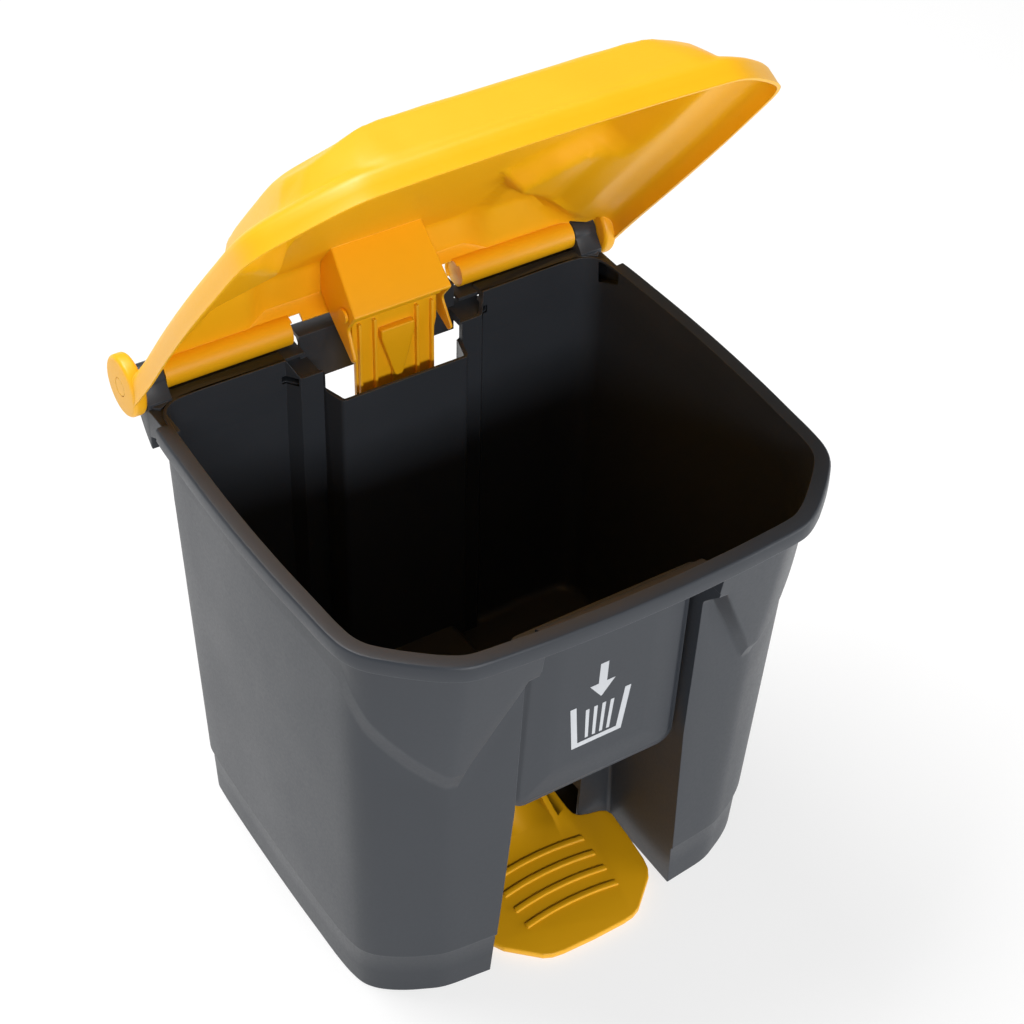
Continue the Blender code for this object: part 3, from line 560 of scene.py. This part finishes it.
def make_body():
    body = wall_solid("can_body", 0.0, 0.0, True)
    cavity = wall_solid("cavity", FLOOR_TOP, -WALL, False)
    cut(cavity,
        bay("bay_wall", WALL, 347.5),
        front_recess("panel_wall", 75.5, 9.2, 3.7),
        tunnel("tunnel_wall", WALL),
        channel("channel_wall", WALL, 40.0, 400.0, 175.0),
        back_jog("back_jog_wall", WALL, 40.0, 400.0))
    underside = loft("underside", [
        wall_ring(lambda i: -1.0, 0.0, -WALL),
        wall_ring(lambda i: FLOOR_UNDER, 0.0, -WALL + 1.0),
    ])
    cut(underside, bay("bay_skirt", WALL, 347.5, -2.0))
    join(body, rim_flange(), back_deck())
    cut(body, cavity, underside,
        bay("bay", 0.0, 345.0),
        front_recess("recess", 72.0, 8.0, 0.0))
    join(body, panel())
    cut(body,
        tunnel("tunnel", 0.0),
        channel("channel", 0.0, -1.0, 400.0, 170.0),
        back_jog("back_jog", 0.0, -1.0, 383.0))
    slot = fillet([(-58.8, 360.3), (58.8, 360.3), (58.8, 400.0), (-58.8, 400.0)], [2.5, 2.5, 0, 0])
    cut(body, plate("rod_slot", slot, 100.0, 175.0, "XZ"))
    for side in (-1, 1):
        cut(body, rim_dip(side))
        join(body, *outer_lug(side), middle_lug(side), *barrel_shelves(side))
    join(body, hinge_band())
    for side in (-1, 1):
        low, high = span(side, 173.0, 194.5)
        cut(body, cylinder("pin_bore", LUG_BORE, low, high, (AXIS_Y, AXIS_Z), 32))
    return smooth(body, 32)


# ------------------------------------------------------------------------------------------------ lid surfaces

LID_BACK = 165.5
LID_OUT = 13.1
LID_WALL = 2.4
BACK_STEPS = 24            # points of the lid's plan along half of its back
LID_CENTRE_Y = -18.0
LID_HALF = 204.3           # half width at the back
LID_REACH = 190.0          # the rings close in on the centre over this distance
LIP_UPRIGHT = 1.1          # the inside of the lip stays upright this far, which leaves room for the rim
LID_START = 6              # row of PLAN from which the lid follows the wall
RING_STEPS = ([0.0, 0.4, 1.0, 1.8, 3.0, 4.5, 6.0, 7.5, 9.0, 10.5, 12.0, 14.0, 16.0]
              + [18.0 + 2.5 * k for k in range(36)]
              + [112.0, 120.0, 130.0, 142.0, 156.0, 170.0, 182.0])
# Height over the hinge axis by distance in from the edge, at the sides, the front and the back.
SIDE_RISE = ((0, -19.0), (0.4, -17.5), (1.0, -12.0), (1.8, -5.4), (3, -2.6), (4.5, -0.9), (7.5, 1.0), (10.5, 2.4),
             (14, 3.4), (30, 6.6), (44, 13.5), (52, 18.5), (60, 20.0), (204, 20.0))
FRONT_RISE = ((0, -19.0), (0.4, -17.5), (1.0, -12.0), (1.8, -5.9), (3, -3.3), (4.5, -1.6), (9, 2.4), (39, 19.5),
              (46, 20.0), (204, 20.0))
BACK_RISE = ((0, -9.0), (0.4, 2.0), (1.0, 7.0), (1.8, 9.4), (3, 10.8), (32, 31.0), (38, 32.0), (204, 32.0))
LID_TOP = 36.0
# Foot of the raised middle: x and distance forward of the hinge axis.
PLATEAU_FOOT = ((0, -12), (101, -12), (101, 104), (124, 128), (164, 154), (168, 200), (166, 300), (156, 325),
                (128, 354), (112, 362), (0, 363))


def plateau_rise(x, forward):
    """Height of the raised middle over the lid's skirt, from the distance inside its foot."""
    x = abs(x)
    inside = False
    nearest = math.inf
    for (ax, af), (bx, bf) in zip(PLATEAU_FOOT, PLATEAU_FOOT[1:]):
        dx, df = bx - ax, bf - af
        t = min(1.0, max(0.0, ((x - ax) * dx + (forward - af) * df) / (dx * dx + df * df)))
        nearest = min(nearest, math.hypot(x - ax - dx * t, forward - af - df * t))
        if (af > forward) != (bf > forward) and x < ax + (forward - af) / df * dx:
            inside = not inside
    if not inside:
        return 0.0
    front = ease((forward - 285) / 45.0)
    reach = 16.0 + 22.0 * front * ease((140.0 - x) / 46.0)
    full = 9.0 + 7.0 * min(1.0, max(0.0, (forward - 8) / 50.0))
    t = min(1.0, nearest / reach)
    soft = t if front > 0.5 else t * 0.6 + ease(t) * 0.4
    return full * (soft if t < 1 else 1.0)


def lid_plan():
    """Half plan of the lid's edge, from the middle of the back to the middle of the front."""
    whole = moved_out(both_sides([(row[0], row[1]) for row in FINE]), LID_OUT)
    sides = whole[LID_START * FINE_STEPS:len(FINE)]
    back = [(LID_HALF * k / BACK_STEPS, LID_BACK) for k in range(BACK_STEPS + 1)]
    bridge = [(LID_HALF - 0.1 * k, LID_BACK - (LID_BACK - 128.0) * k / 6) for k in range(1, 6)]
    return back + bridge + [(203.6, 128.0), (203.6, 110.0)] + sides


def lid_skin(name, shrink, drop):
    """The lid's outer skin, or with shrink and drop the solid inside it."""
    half_plan = lid_plan()
    rings = []
    for step in RING_STEPS:
        ring = []
        share = (max(0.0, step - LIP_UPRIGHT) if shrink else step) / LID_REACH
        for x0, y0 in half_plan:
            x1 = x0 * (LID_HALF - shrink) / LID_HALF
            y1 = y0 + (LID_CENTRE_Y - y0) * shrink / LID_REACH
            x = x1 * (1 - share)
            y = y1 + (LID_CENTRE_Y - y1) * share
            side = between(step, SIDE_RISE)
            frontness = ease((186 - x0) / 74.0) if y0 < -60 else 0.0
            backness = ease((204 - x0) / 40.0) if y0 > 150 else 0.0
            rise = side + (between(step, FRONT_RISE) - side) * frontness
            rise += (between(step, BACK_RISE) - rise) * backness
            forward = AXIS_Y - y
            height = min(LID_TOP, rise + plateau_rise(x, forward))
            lowered = drop * min(1.0, step / 3.0) if shrink else 0.0
            height -= lowered if step else (1.0 if shrink else 0.0)
            ring.append((x, y, AXIS_Z + height))
        rings.append(both_sides(ring))
    return loft(name, rings, crown_from=BACK_STEPS)


def drafted(block, narrow, wide, low, high):
    """Widens a block that is 2 mm wide along X from narrow at height high to wide at height low."""
    for vertex in block.data.vertices:
        share = (high * MM - vertex.co.z) / ((high - low) * MM)
        vertex.co.x *= narrow + (wide - narrow) * share
    return block


def rod_box():
    """The box under the lid that takes the push rod's head, and the hollow in it."""
    def at(forward, height):
        return (AXIS_Y - forward, AXIS_Z + height)

    outline = fillet([at(57.0, 34.7), at(51.4, -20.2), at(31.0, -21.0), at(22.0, -44.0), at(16.0, -43.0),
                      at(10.0, -4.0), at(9.5, 2.0), at(9.5, 18.5), at(29.0, 34.7)], [0, 2, 6, 3, 3, 4, 2, 0, 0])
    shell = rounded(drafted(plate("rod_box", outline, -1.0, 1.0, "YZ"), 37.6, 40.8, 380.0, 435.0), 2.6, 4, 60)
    hollow = fillet([at(54.6, 31.6), at(49.4, -20.2), at(49.4, -60.0), at(-20.0, -60.0), at(-20.0, 1.0),
                     at(12.0, 1.0), at(12.0, 16.0), at(27.0, 31.6)], [2, 0, 0, 0, 0, 0, 2, 2])
    return shell, drafted(plate("rod_box_hollow", hollow, -1.0, 1.0, "YZ"), 35.2, 38.4, 380.0, 435.0)


def posed(obj, pivot, angle):
    """Turns the mesh about an X axis through pivot (y, z) in millimetres."""
    move = Matrix.Translation((0, pivot[0] * MM, pivot[1] * MM))
    obj.data.transform(move @ Matrix.Rotation(angle, 4, "X") @ move.inverted())
    return obj


def make_lid():
    """Built closed, then turned open."""
    axis = (AXIS_Y, AXIS_Z)
    lid = lid_skin("lid_shell", 0.0, 0.0)
    cut(lid, lid_skin("lid_inside", LID_WALL, LID_WALL))
    cut(lid, box("lid_back_opening", (-199.0, 150.0, 376.0), (199.0, 185.0, AXIS_Z + 0.6)))
    shell, hollow = rod_box()
    join(lid, shell)
    for side in (-1, 1):
        low, high = span(side, 70.0, 182.0)
        join(lid, cylinder("barrel", BARREL_RADIUS, low, high, axis, 56))
    for side in (-1, 1):
        low, high = span(side, 173.5, 197.0)
        room = cylinder("lug_room", LUG_ROOM, low, high, axis, 52)
        low, high = span(side, 60.0, 71.6)
        cut(lid, room, cylinder("peg_room", PEG_ROOM, low, high, axis, 52),
            box("peg_room_side", (low, AXIS_Y - LUG_RADIUS, AXIS_Z - LUG_RADIUS),
                (high, AXIS_Y + LUG_RADIUS, AXIS_Z + 0.9)))
    for side in (-1, 1):
        low, high = span(side, 193.5, 204.5)
        join(lid, rounded(cylinder("hinge_cap", CAP_RADIUS, low, high, axis, 96), 3.2, 5, 50))
        low, high = span(side, 76.0, 88.0)
        cut(lid, cylinder("peg_bore", PEG_BORE, low, high, axis, 32))
        low, high = span(side, 140.0, 210.0)
        bore = cylinder("hinge_bore", HINGE_BORE, low, high, axis, 32)
        low, high = span(side, 203.0, 210.0)
        cut(lid, bore, cylinder("cap_dimple", 7.3, low, high, axis, 48))
    pin = (AXIS_Y - PIN_FORWARD, AXIS_Z - PIN_DROP)
    cut(lid, hollow, cylinder("top_pin_bore", CROSS_PIN_BORE, -60.0, 60.0, pin, 32))
    posed(lid, axis, -LID_OPEN)
    return smooth(lid, 32)


# ------------------------------------------------------------------------------------------------ rod and pedal

def top_pin():
    """Y and z of the push rod's upper pin with the lid open."""
    c, s = math.cos(LID_OPEN), math.sin(LID_OPEN)
    return AXIS_Y - PIN_FORWARD * c - PIN_DROP * s, AXIS_Z + PIN_FORWARD * s - PIN_DROP * c


def low_pin():
    """Y and z of the push rod's lower pin with the pedal pressed."""
    return PIVOT_Y + ARM * math.cos(PEDAL_TILT), PIVOT_Z + ARM * math.sin(PEDAL_TILT)


def make_rod():
    """Built upright under its upper pin, then turned so that its foot is at the lower pin."""
    top_y, top_z = top_pin()
    low_y, low_z = low_pin()
    length = math.hypot(top_y - low_y, top_z - low_z)
    foot = top_z - length
    outline = fillet([(-28.5, foot - 9), (28.5, foot - 9), (28.5, foot + 18), (33.3, foot + 26), (33.3, 383.0),
                      (35.6, 393.0), (35.6, top_z), (-35.6, top_z), (-35.6, 393.0), (-33.3, 383.0),
                      (-33.3, foot + 26), (-28.5, foot + 18)], [3, 3, 3, 3, 6, 6, 0, 0, 6, 6, 3, 3])
    rod = rounded(plate("push_rod_plate", outline, top_y - 0.5, top_y + 3.5, "XZ"), 0.7, 2, 50)
    join(rod, cylinder("rod_head", 7.0, -35.6, 35.6, (top_y, top_z), 40),
         cylinder("rod_foot", 8.0, -28.5, 28.5, (top_y, foot), 40))
    for x in (-31.7, -19.0, 16.6, 29.3):
        rib = box("rod_rib", (x, top_y - 4.0, foot + 20), (x + 2.4, top_y + 0.5, 412.0))
        join(rod, rounded(rib, 0.7, 2, 50))
    spine = [(-4.0, 380.0), (-3.0, foot + 20), (3.0, foot + 20), (4.0, 380.0)]
    join(rod, rounded(plate("rod_spine", spine, top_y - 2.4, top_y + 0.5, "XZ"), 1.0, 2, 50))
    boss = fillet([(-14.0, 402.0), (-14.0, 394.0), (-3.0, 357.0), (3.0, 357.0), (14.0, 394.0), (14.0, 402.0)],
                  [1.5, 3.0, 3.0, 3.0, 3.0, 1.5])
    join(rod, rounded(plate("rod_boss", boss, top_y - 6.2, top_y + 0.6, "XZ"), 1.6, 3, 60))
    cut(rod, cylinder("rod_top_bore", CROSS_PIN_BORE, -60.0, 60.0, (top_y, top_z), 32),
        cylinder("rod_low_bore", CROSS_PIN_BORE, -60.0, 60.0, (top_y, foot), 32))
    posed(rod, (top_y, top_z), -math.asin((top_y - low_y) / length))
    return smooth(rod, 32)


def make_pedal():
    """Built level, then turned down as it is when pressed."""
    corners = [(0.0, 112.0), (31.0, 112.0), (36.0, 107.0), (36.0, 22.0), (47.0, -6.0), (47.0, -33.0), (48.0, -40.0),
               (51.5, -43.8), (58.0, -46.0), (68.0, -48.0), (73.0, -50.5), (75.5, -55.5), (75.0, -80.0),
               (73.5, -104.0), (71.5, -113.0), (67.0, -120.5), (44.0, -140.5), (37.0, -143.5), (28.0, -144.8),
               (0.0, -145.5)]
    ring = both_sides([(x, y + PIVOT_Y) for x, y in corners])
    outline = fillet(ring, 5.0, 4)
    top = PIVOT_Z - 5.0
    pedal = rounded(plate("foot_pedal", outline, top - 6.0, top, "XY"), 1.6, 4, 50)
    for side in (-1, 1):
        low, high = span(side, 31.0, 36.0)
        rail = [(PIVOT_Y - 44.0, top - 2.0), (PIVOT_Y - 44.0, top - 7.5), (PIVOT_Y + 60.0, top - 7.5)]
        rail += arc((PIVOT_Y + ARM, PIVOT_Z), 9.5, 270, 450, 20)
        rail += [(PIVOT_Y + 30.0, PIVOT_Z + 8.0)] + arc((PIVOT_Y, PIVOT_Z), 9.0, 60, 150, 12)
        join(pedal, rounded(plate("lever_rail", rail, low, high, "YZ"), 0.5, 2, 50))
    join(pedal, box("lever_web", (-32.0, PIVOT_Y + 106.0, PIVOT_Z - 10.0), (32.0, PIVOT_Y + 110.0, PIVOT_Z + 5.0)))
    for y in (-66.0, -82.0, -98.0, -114.0):
        bow = [(x, y + 5.0 * (1 - (x / 50.0) ** 2)) for x in range(-42, 43, 4)]
        ridge = [(x, b + PIVOT_Y + 2.6) for x, b in bow] + [(x, b + PIVOT_Y - 2.6) for x, b in reversed(bow)]
        join(pedal, rounded(plate("tread_ridge", ridge, top - 1.0, top + 1.4, "XY"), 1.1, 3, 50))
    slot = (arc((PIVOT_Y + ARM + 2.4, PIVOT_Z + 0.4), 4.0, -90, 90, 16)
            + arc((PIVOT_Y + ARM - 3.6, PIVOT_Z + 0.4), 4.0, 90, 270, 16))
    cut(pedal, plate("pin_slot", slot, -60.0, 60.0, "YZ"),
        cylinder("axle_bore", AXLE_BORE, -60.0, 60.0, (PIVOT_Y, PIVOT_Z), 40))
    posed(pedal, (PIVOT_Y, PIVOT_Z), PEDAL_TILT)
    return smooth(pedal, 32)


# ------------------------------------------------------------------------------------------------ pictogram

SIGN_X, SIGN_Z, SIGN_PROUD = -3.0, 256.0, 0.12


def patch(bm, corners, columns, rows):
    """A thin plate over the panel between four corners given as x and z round the sign's centre."""
    sheets = []
    for proud in (SIGN_PROUD, -0.6):
        sheet = []
        for j in range(rows + 1):
            v = j / rows
            sheet.append([])
            for i in range(columns + 1):
                u = i / columns
                x, z = (sum(w * c[k] for w, c in zip(((1 - u) * (1 - v), u * (1 - v), u * v, (1 - u) * v), corners))
                        for k in (0, 1))
                x += SIGN_X
                z += SIGN_Z
                sheet[-1].append(bm.verts.new((x * MM, (panel_y(x, z) - proud) * MM, z * MM)))
        sheets.append(sheet)
    close_sheets(bm, *sheets)


def make_sign():
    """A plain drop-in symbol: an arrow pointing down into an open slatted bin."""
    bm = bmesh.new()
    for side in (-1, 1):
        patch(bm, [(side * 21.0, -38.0), (side * 16.0, -38.0), (side * 20.5, 6.0), (side * 25.5, 6.0)], 2, 12)
    patch(bm, [(-16.0, -38.0), (16.0, -38.0), (16.5, -33.5), (-16.5, -33.5)], 10, 2)
    for x in (-10.5, -3.5, 3.5, 10.5):
        foot = x * 0.86
        patch(bm, [(foot - 1.3, -31.0), (foot + 1.3, -31.0), (x + 1.5, -1.0), (x - 1.5, -1.0)], 2, 9)
    patch(bm, [(-3.4, 22.0), (3.4, 22.0), (3.4, 42.0), (-3.4, 42.0)], 3, 7)
    patch(bm, [(-0.4, 8.0), (0.4, 8.0), (10.5, 22.0), (-10.5, 22.0)], 6, 5)
    return smooth(place("drop_in_sign", bm), 40)


# ------------------------------------------------------------------------------------------------ materials

PLASTIC_GRAIN_DEPTH, METAL_GRAIN_DEPTH = 0.06, 0.04


def mix_colour(tree, factor, a, b):
    node = tree.nodes.new("ShaderNodeMix")
    node.data_type = "RGBA"
    tree.links.new(factor, node.inputs["Factor"])
    node.inputs[6].default_value = (*a, 1.0)
    node.inputs[7].default_value = (*b, 1.0)
    return node.outputs[2]


def ramp(tree, value, low, high, to_low=0.0, to_high=1.0):
    """Maps low to high onto to_low to to_high."""
    node = tree.nodes.new("ShaderNodeMapRange")
    tree.links.new(value, node.inputs["Value"])
    node.inputs["From Min"].default_value = low
    node.inputs["From Max"].default_value = high
    node.inputs["To Min"].default_value = to_low
    node.inputs["To Max"].default_value = to_high
    return node.outputs["Result"]


def noise(tree, scale, detail=3.0, rough=0.5, stretch=None):
    node = tree.nodes.new("ShaderNodeTexNoise")
    node.inputs["Scale"].default_value = scale
    node.inputs["Detail"].default_value = detail
    node.inputs["Roughness"].default_value = rough
    where = tree.nodes.new("ShaderNodeTexCoord").outputs["Object"]
    if stretch:
        mapping = tree.nodes.new("ShaderNodeMapping")
        mapping.inputs["Scale"].default_value = stretch
        tree.links.new(where, mapping.inputs["Vector"])
        where = mapping.outputs["Vector"]
    tree.links.new(where, node.inputs["Vector"])
    return node.outputs["Fac"]


def plastic(name, base, edge_highlight, rough, grain_scale, grain, edge_radius, cloud_low, ior=1.49):
    """Moulded plastic: fine grain, slow cloudiness in colour and gloss, and a patchy painted highlight along the
    edges.
    """
    material = bpy.data.materials.new(name)
    material.use_nodes = True
    tree = material.node_tree
    shader = tree.nodes["Principled BSDF"]
    cloud = noise(tree, 9.0, 4.0, 0.6)
    speck = noise(tree, 420.0, 2.0, 0.5)
    dark = tuple(c * cloud_low for c in base)
    body = mix_colour(tree, ramp(tree, cloud, 0.3, 0.7), dark, base)
    # Painted highlight: edges found from the bevel normal are lightened, in patches, towards the second colour.
    edge_normal = tree.nodes.new("ShaderNodeBevel")
    edge_normal.samples = 6
    edge_normal.inputs["Radius"].default_value = edge_radius * MM
    geometry = tree.nodes.new("ShaderNodeNewGeometry")
    dot = tree.nodes.new("ShaderNodeVectorMath")
    dot.operation = "DOT_PRODUCT"
    tree.links.new(edge_normal.outputs["Normal"], dot.inputs[0])
    tree.links.new(geometry.outputs["Normal"], dot.inputs[1])
    edge = ramp(tree, dot.outputs["Value"], 0.995, 0.86)
    highlight_share = tree.nodes.new("ShaderNodeMath")
    highlight_share.operation = "MULTIPLY"
    tree.links.new(edge, highlight_share.inputs[0])
    tree.links.new(ramp(tree, noise(tree, 60.0, 3.0, 0.6), 0.42, 0.62, 0.25, 0.9), highlight_share.inputs[1])
    final = tree.nodes.new("ShaderNodeMix")
    final.data_type = "RGBA"
    tree.links.new(highlight_share.outputs["Value"], final.inputs["Factor"])
    tree.links.new(body, final.inputs[6])
    final.inputs[7].default_value = (*edge_highlight, 1.0)
    tree.links.new(final.outputs[2], shader.inputs["Base Color"])
    gloss = tree.nodes.new("ShaderNodeMath")
    gloss.operation = "ADD"
    tree.links.new(ramp(tree, cloud, 0.25, 0.75, rough - 0.04, rough + 0.05), gloss.inputs[0])
    tree.links.new(ramp(tree, speck, 0.3, 0.7, -0.03, 0.03), gloss.inputs[1])
    tree.links.new(gloss.outputs["Value"], shader.inputs["Roughness"])
    bump = tree.nodes.new("ShaderNodeBump")
    bump.inputs["Strength"].default_value = grain
    bump.inputs["Distance"].default_value = PLASTIC_GRAIN_DEPTH * MM
    tree.links.new(noise(tree, grain_scale, 2.0, 0.55), bump.inputs["Height"])
    tree.links.new(edge_normal.outputs["Normal"], bump.inputs["Normal"])
    tree.links.new(bump.outputs["Normal"], shader.inputs["Normal"])
    shader.inputs["IOR"].default_value = ior
    return material


def metal(name, base, rough, stretch):
    """Bare metal with streaks along its length."""
    material = bpy.data.materials.new(name)
    material.use_nodes = True
    tree = material.node_tree
    shader = tree.nodes["Principled BSDF"]
    streak = noise(tree, 300.0, 3.0, 0.6, stretch)
    tree.links.new(mix_colour(tree, ramp(tree, noise(tree, 120.0), 0.35, 0.65), tuple(c * 0.8 for c in base), base),
                   shader.inputs["Base Color"])
    tree.links.new(ramp(tree, streak, 0.3, 0.7, rough - 0.08, rough + 0.1), shader.inputs["Roughness"])
    shader.inputs["Metallic"].default_value = 1.0
    bump = tree.nodes.new("ShaderNodeBump")
    bump.inputs["Strength"].default_value = 0.3
    bump.inputs["Distance"].default_value = METAL_GRAIN_DEPTH * MM
    tree.links.new(streak, bump.inputs["Height"])
    tree.links.new(bump.outputs["Normal"], shader.inputs["Normal"])
    return material


# The second colour of each plastic is the painted highlight laid along its edges.
GREY_PLASTIC = plastic("grey_moulded", (0.036, 0.041, 0.050), (0.075, 0.083, 0.095), 0.40, 1500.0, 0.35, 0.8, 0.88,
                       ior=1.37)
YELLOW_PLASTIC = plastic("yellow_moulded", (0.98, 0.48, 0.004), (1.0, 0.62, 0.05), 0.42, 1300.0, 0.3, 0.8, 0.95)
INK = plastic("pale_ink", (0.55, 0.57, 0.6), (0.7, 0.71, 0.73), 0.5, 900.0, 0.4, 0.1, 0.9)
STEEL = metal("drawn_steel", (0.6, 0.61, 0.63), 0.3, (0.1, 4.0, 4.0))
ZINC = metal("zinc_plate", (0.52, 0.52, 0.5), 0.4, (1.0, 1.0, 1.0))


def dress(obj, material):
    obj.data.materials.clear()
    obj.data.materials.append(material)
    return obj


# ------------------------------------------------------------------------------------------------ stage

def aim(obj, target):
    direction = Vector(target) - obj.location
    obj.rotation_mode = "QUATERNION"
    obj.rotation_quaternion = direction.to_track_quat("-Z", "Y")


def area_light(name, location, target, size, power):
    data = bpy.data.lights.new(name, "AREA")
    data.shape = "RECTANGLE"
    data.size, data.size_y = size
    data.energy = power
    obj = bpy.data.objects.new(name, data)
    obj.location = location
    bpy.context.scene.collection.objects.link(obj)
    aim(obj, target)


def make_stage():
    """Pale floor, even surroundings and soft area lights."""
    bm = bmesh.new()
    bmesh.ops.create_grid(bm, x_segments=1, y_segments=1, size=12.0)
    floor = place("studio_floor", bm)
    floor.location.z = -0.0004
    material = bpy.data.materials.new("studio_floor")
    material.use_nodes = True
    shader = material.node_tree.nodes["Principled BSDF"]
    shader.inputs["Base Color"].default_value = (0.3, 0.3, 0.3, 1.0)
    shader.inputs["Emission Color"].default_value = (1.0, 1.0, 1.0, 1.0)
    shader.inputs["Emission Strength"].default_value = 0.72
    shader.inputs["Roughness"].default_value = 0.9
    shader.inputs["Specular IOR Level"].default_value = 0.1
    dress(floor, material)
    world = bpy.data.worlds.new("studio")
    world.use_nodes = True
    world.node_tree.nodes["Background"].inputs["Color"].default_value = (1.0, 1.0, 1.0, 1.0)
    world.node_tree.nodes["Background"].inputs["Strength"].default_value = 0.16
    bpy.context.scene.world = world
    bpy.context.scene.view_settings.view_transform = "Standard"
    area_light("key_light", (-0.6, 1.1, 3.0), (0, 0.0, 0.4), (2.0, 1.2), 105.0)
    area_light("left_light", (-2.8, -0.2, 0.4), (0, 0, 0.25), (2.4, 0.6), 6.0)
    area_light("front_light", (-0.3, -2.4, 1.1), (0, -0.2, 0.05), (1.6, 0.4), 34.0)
    area_light("under_light", (1.6, -1.4, 0.25), (0, 0.1, 0.6), (1.2, 0.3), 10.0)


def make_camera():
    """Camera at the photo's angle: the rows are its right, up and back directions."""
    data = bpy.data.cameras.new("camera")
    data.sensor_width = 36.0
    data.lens = 82.24
    data.shift_x = -0.01275
    data.shift_y = 0.0003
    data.clip_start, data.clip_end = 0.05, 60.0
    obj = bpy.data.objects.new("camera", data)
    turn = Matrix((
        (0.84243, -0.53819, 0.02564),
        (0.33744, 0.56410, 0.75361),
        (-0.42006, -0.62621, 0.65682),
    )).transposed()
    obj.rotation_mode = "QUATERNION"
    obj.rotation_quaternion = turn.to_quaternion()
    obj.location = (-0.6871, -1.0671, 1.4255)
    bpy.context.scene.collection.objects.link(obj)
    bpy.context.scene.camera = obj


def main():
    for obj, node, body, slot, material in (
            (make_body(), "bin_body", "can", "grey_plastic", GREY_PLASTIC),
            (make_lid(), "lid", "lid", "yellow_plastic", YELLOW_PLASTIC),
            (make_rod(), "push_rod", "push_rod", "yellow_plastic", YELLOW_PLASTIC),
            (make_pedal(), "pedal", "pedal", "yellow_plastic", YELLOW_PLASTIC)):
        dress(obj, material)
        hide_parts(node)
        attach(obj, body)
    sign = dress(make_sign(), INK)
    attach(sign, "can")
    for name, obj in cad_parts.items():
        if name in ("bin_body", "lid", "push_rod", "pedal"):
            continue
        if name.startswith("hinge_pin") or name.startswith("rod_top"):
            dress(obj, YELLOW_PLASTIC)
        elif name.startswith("axle_bracket"):
            dress(obj, GREY_PLASTIC)
        elif name.endswith("_pin") or name == "pedal_axle":
            dress(obj, STEEL)
        else:
            dress(obj, ZINC)
    make_stage()
    make_camera()


main()
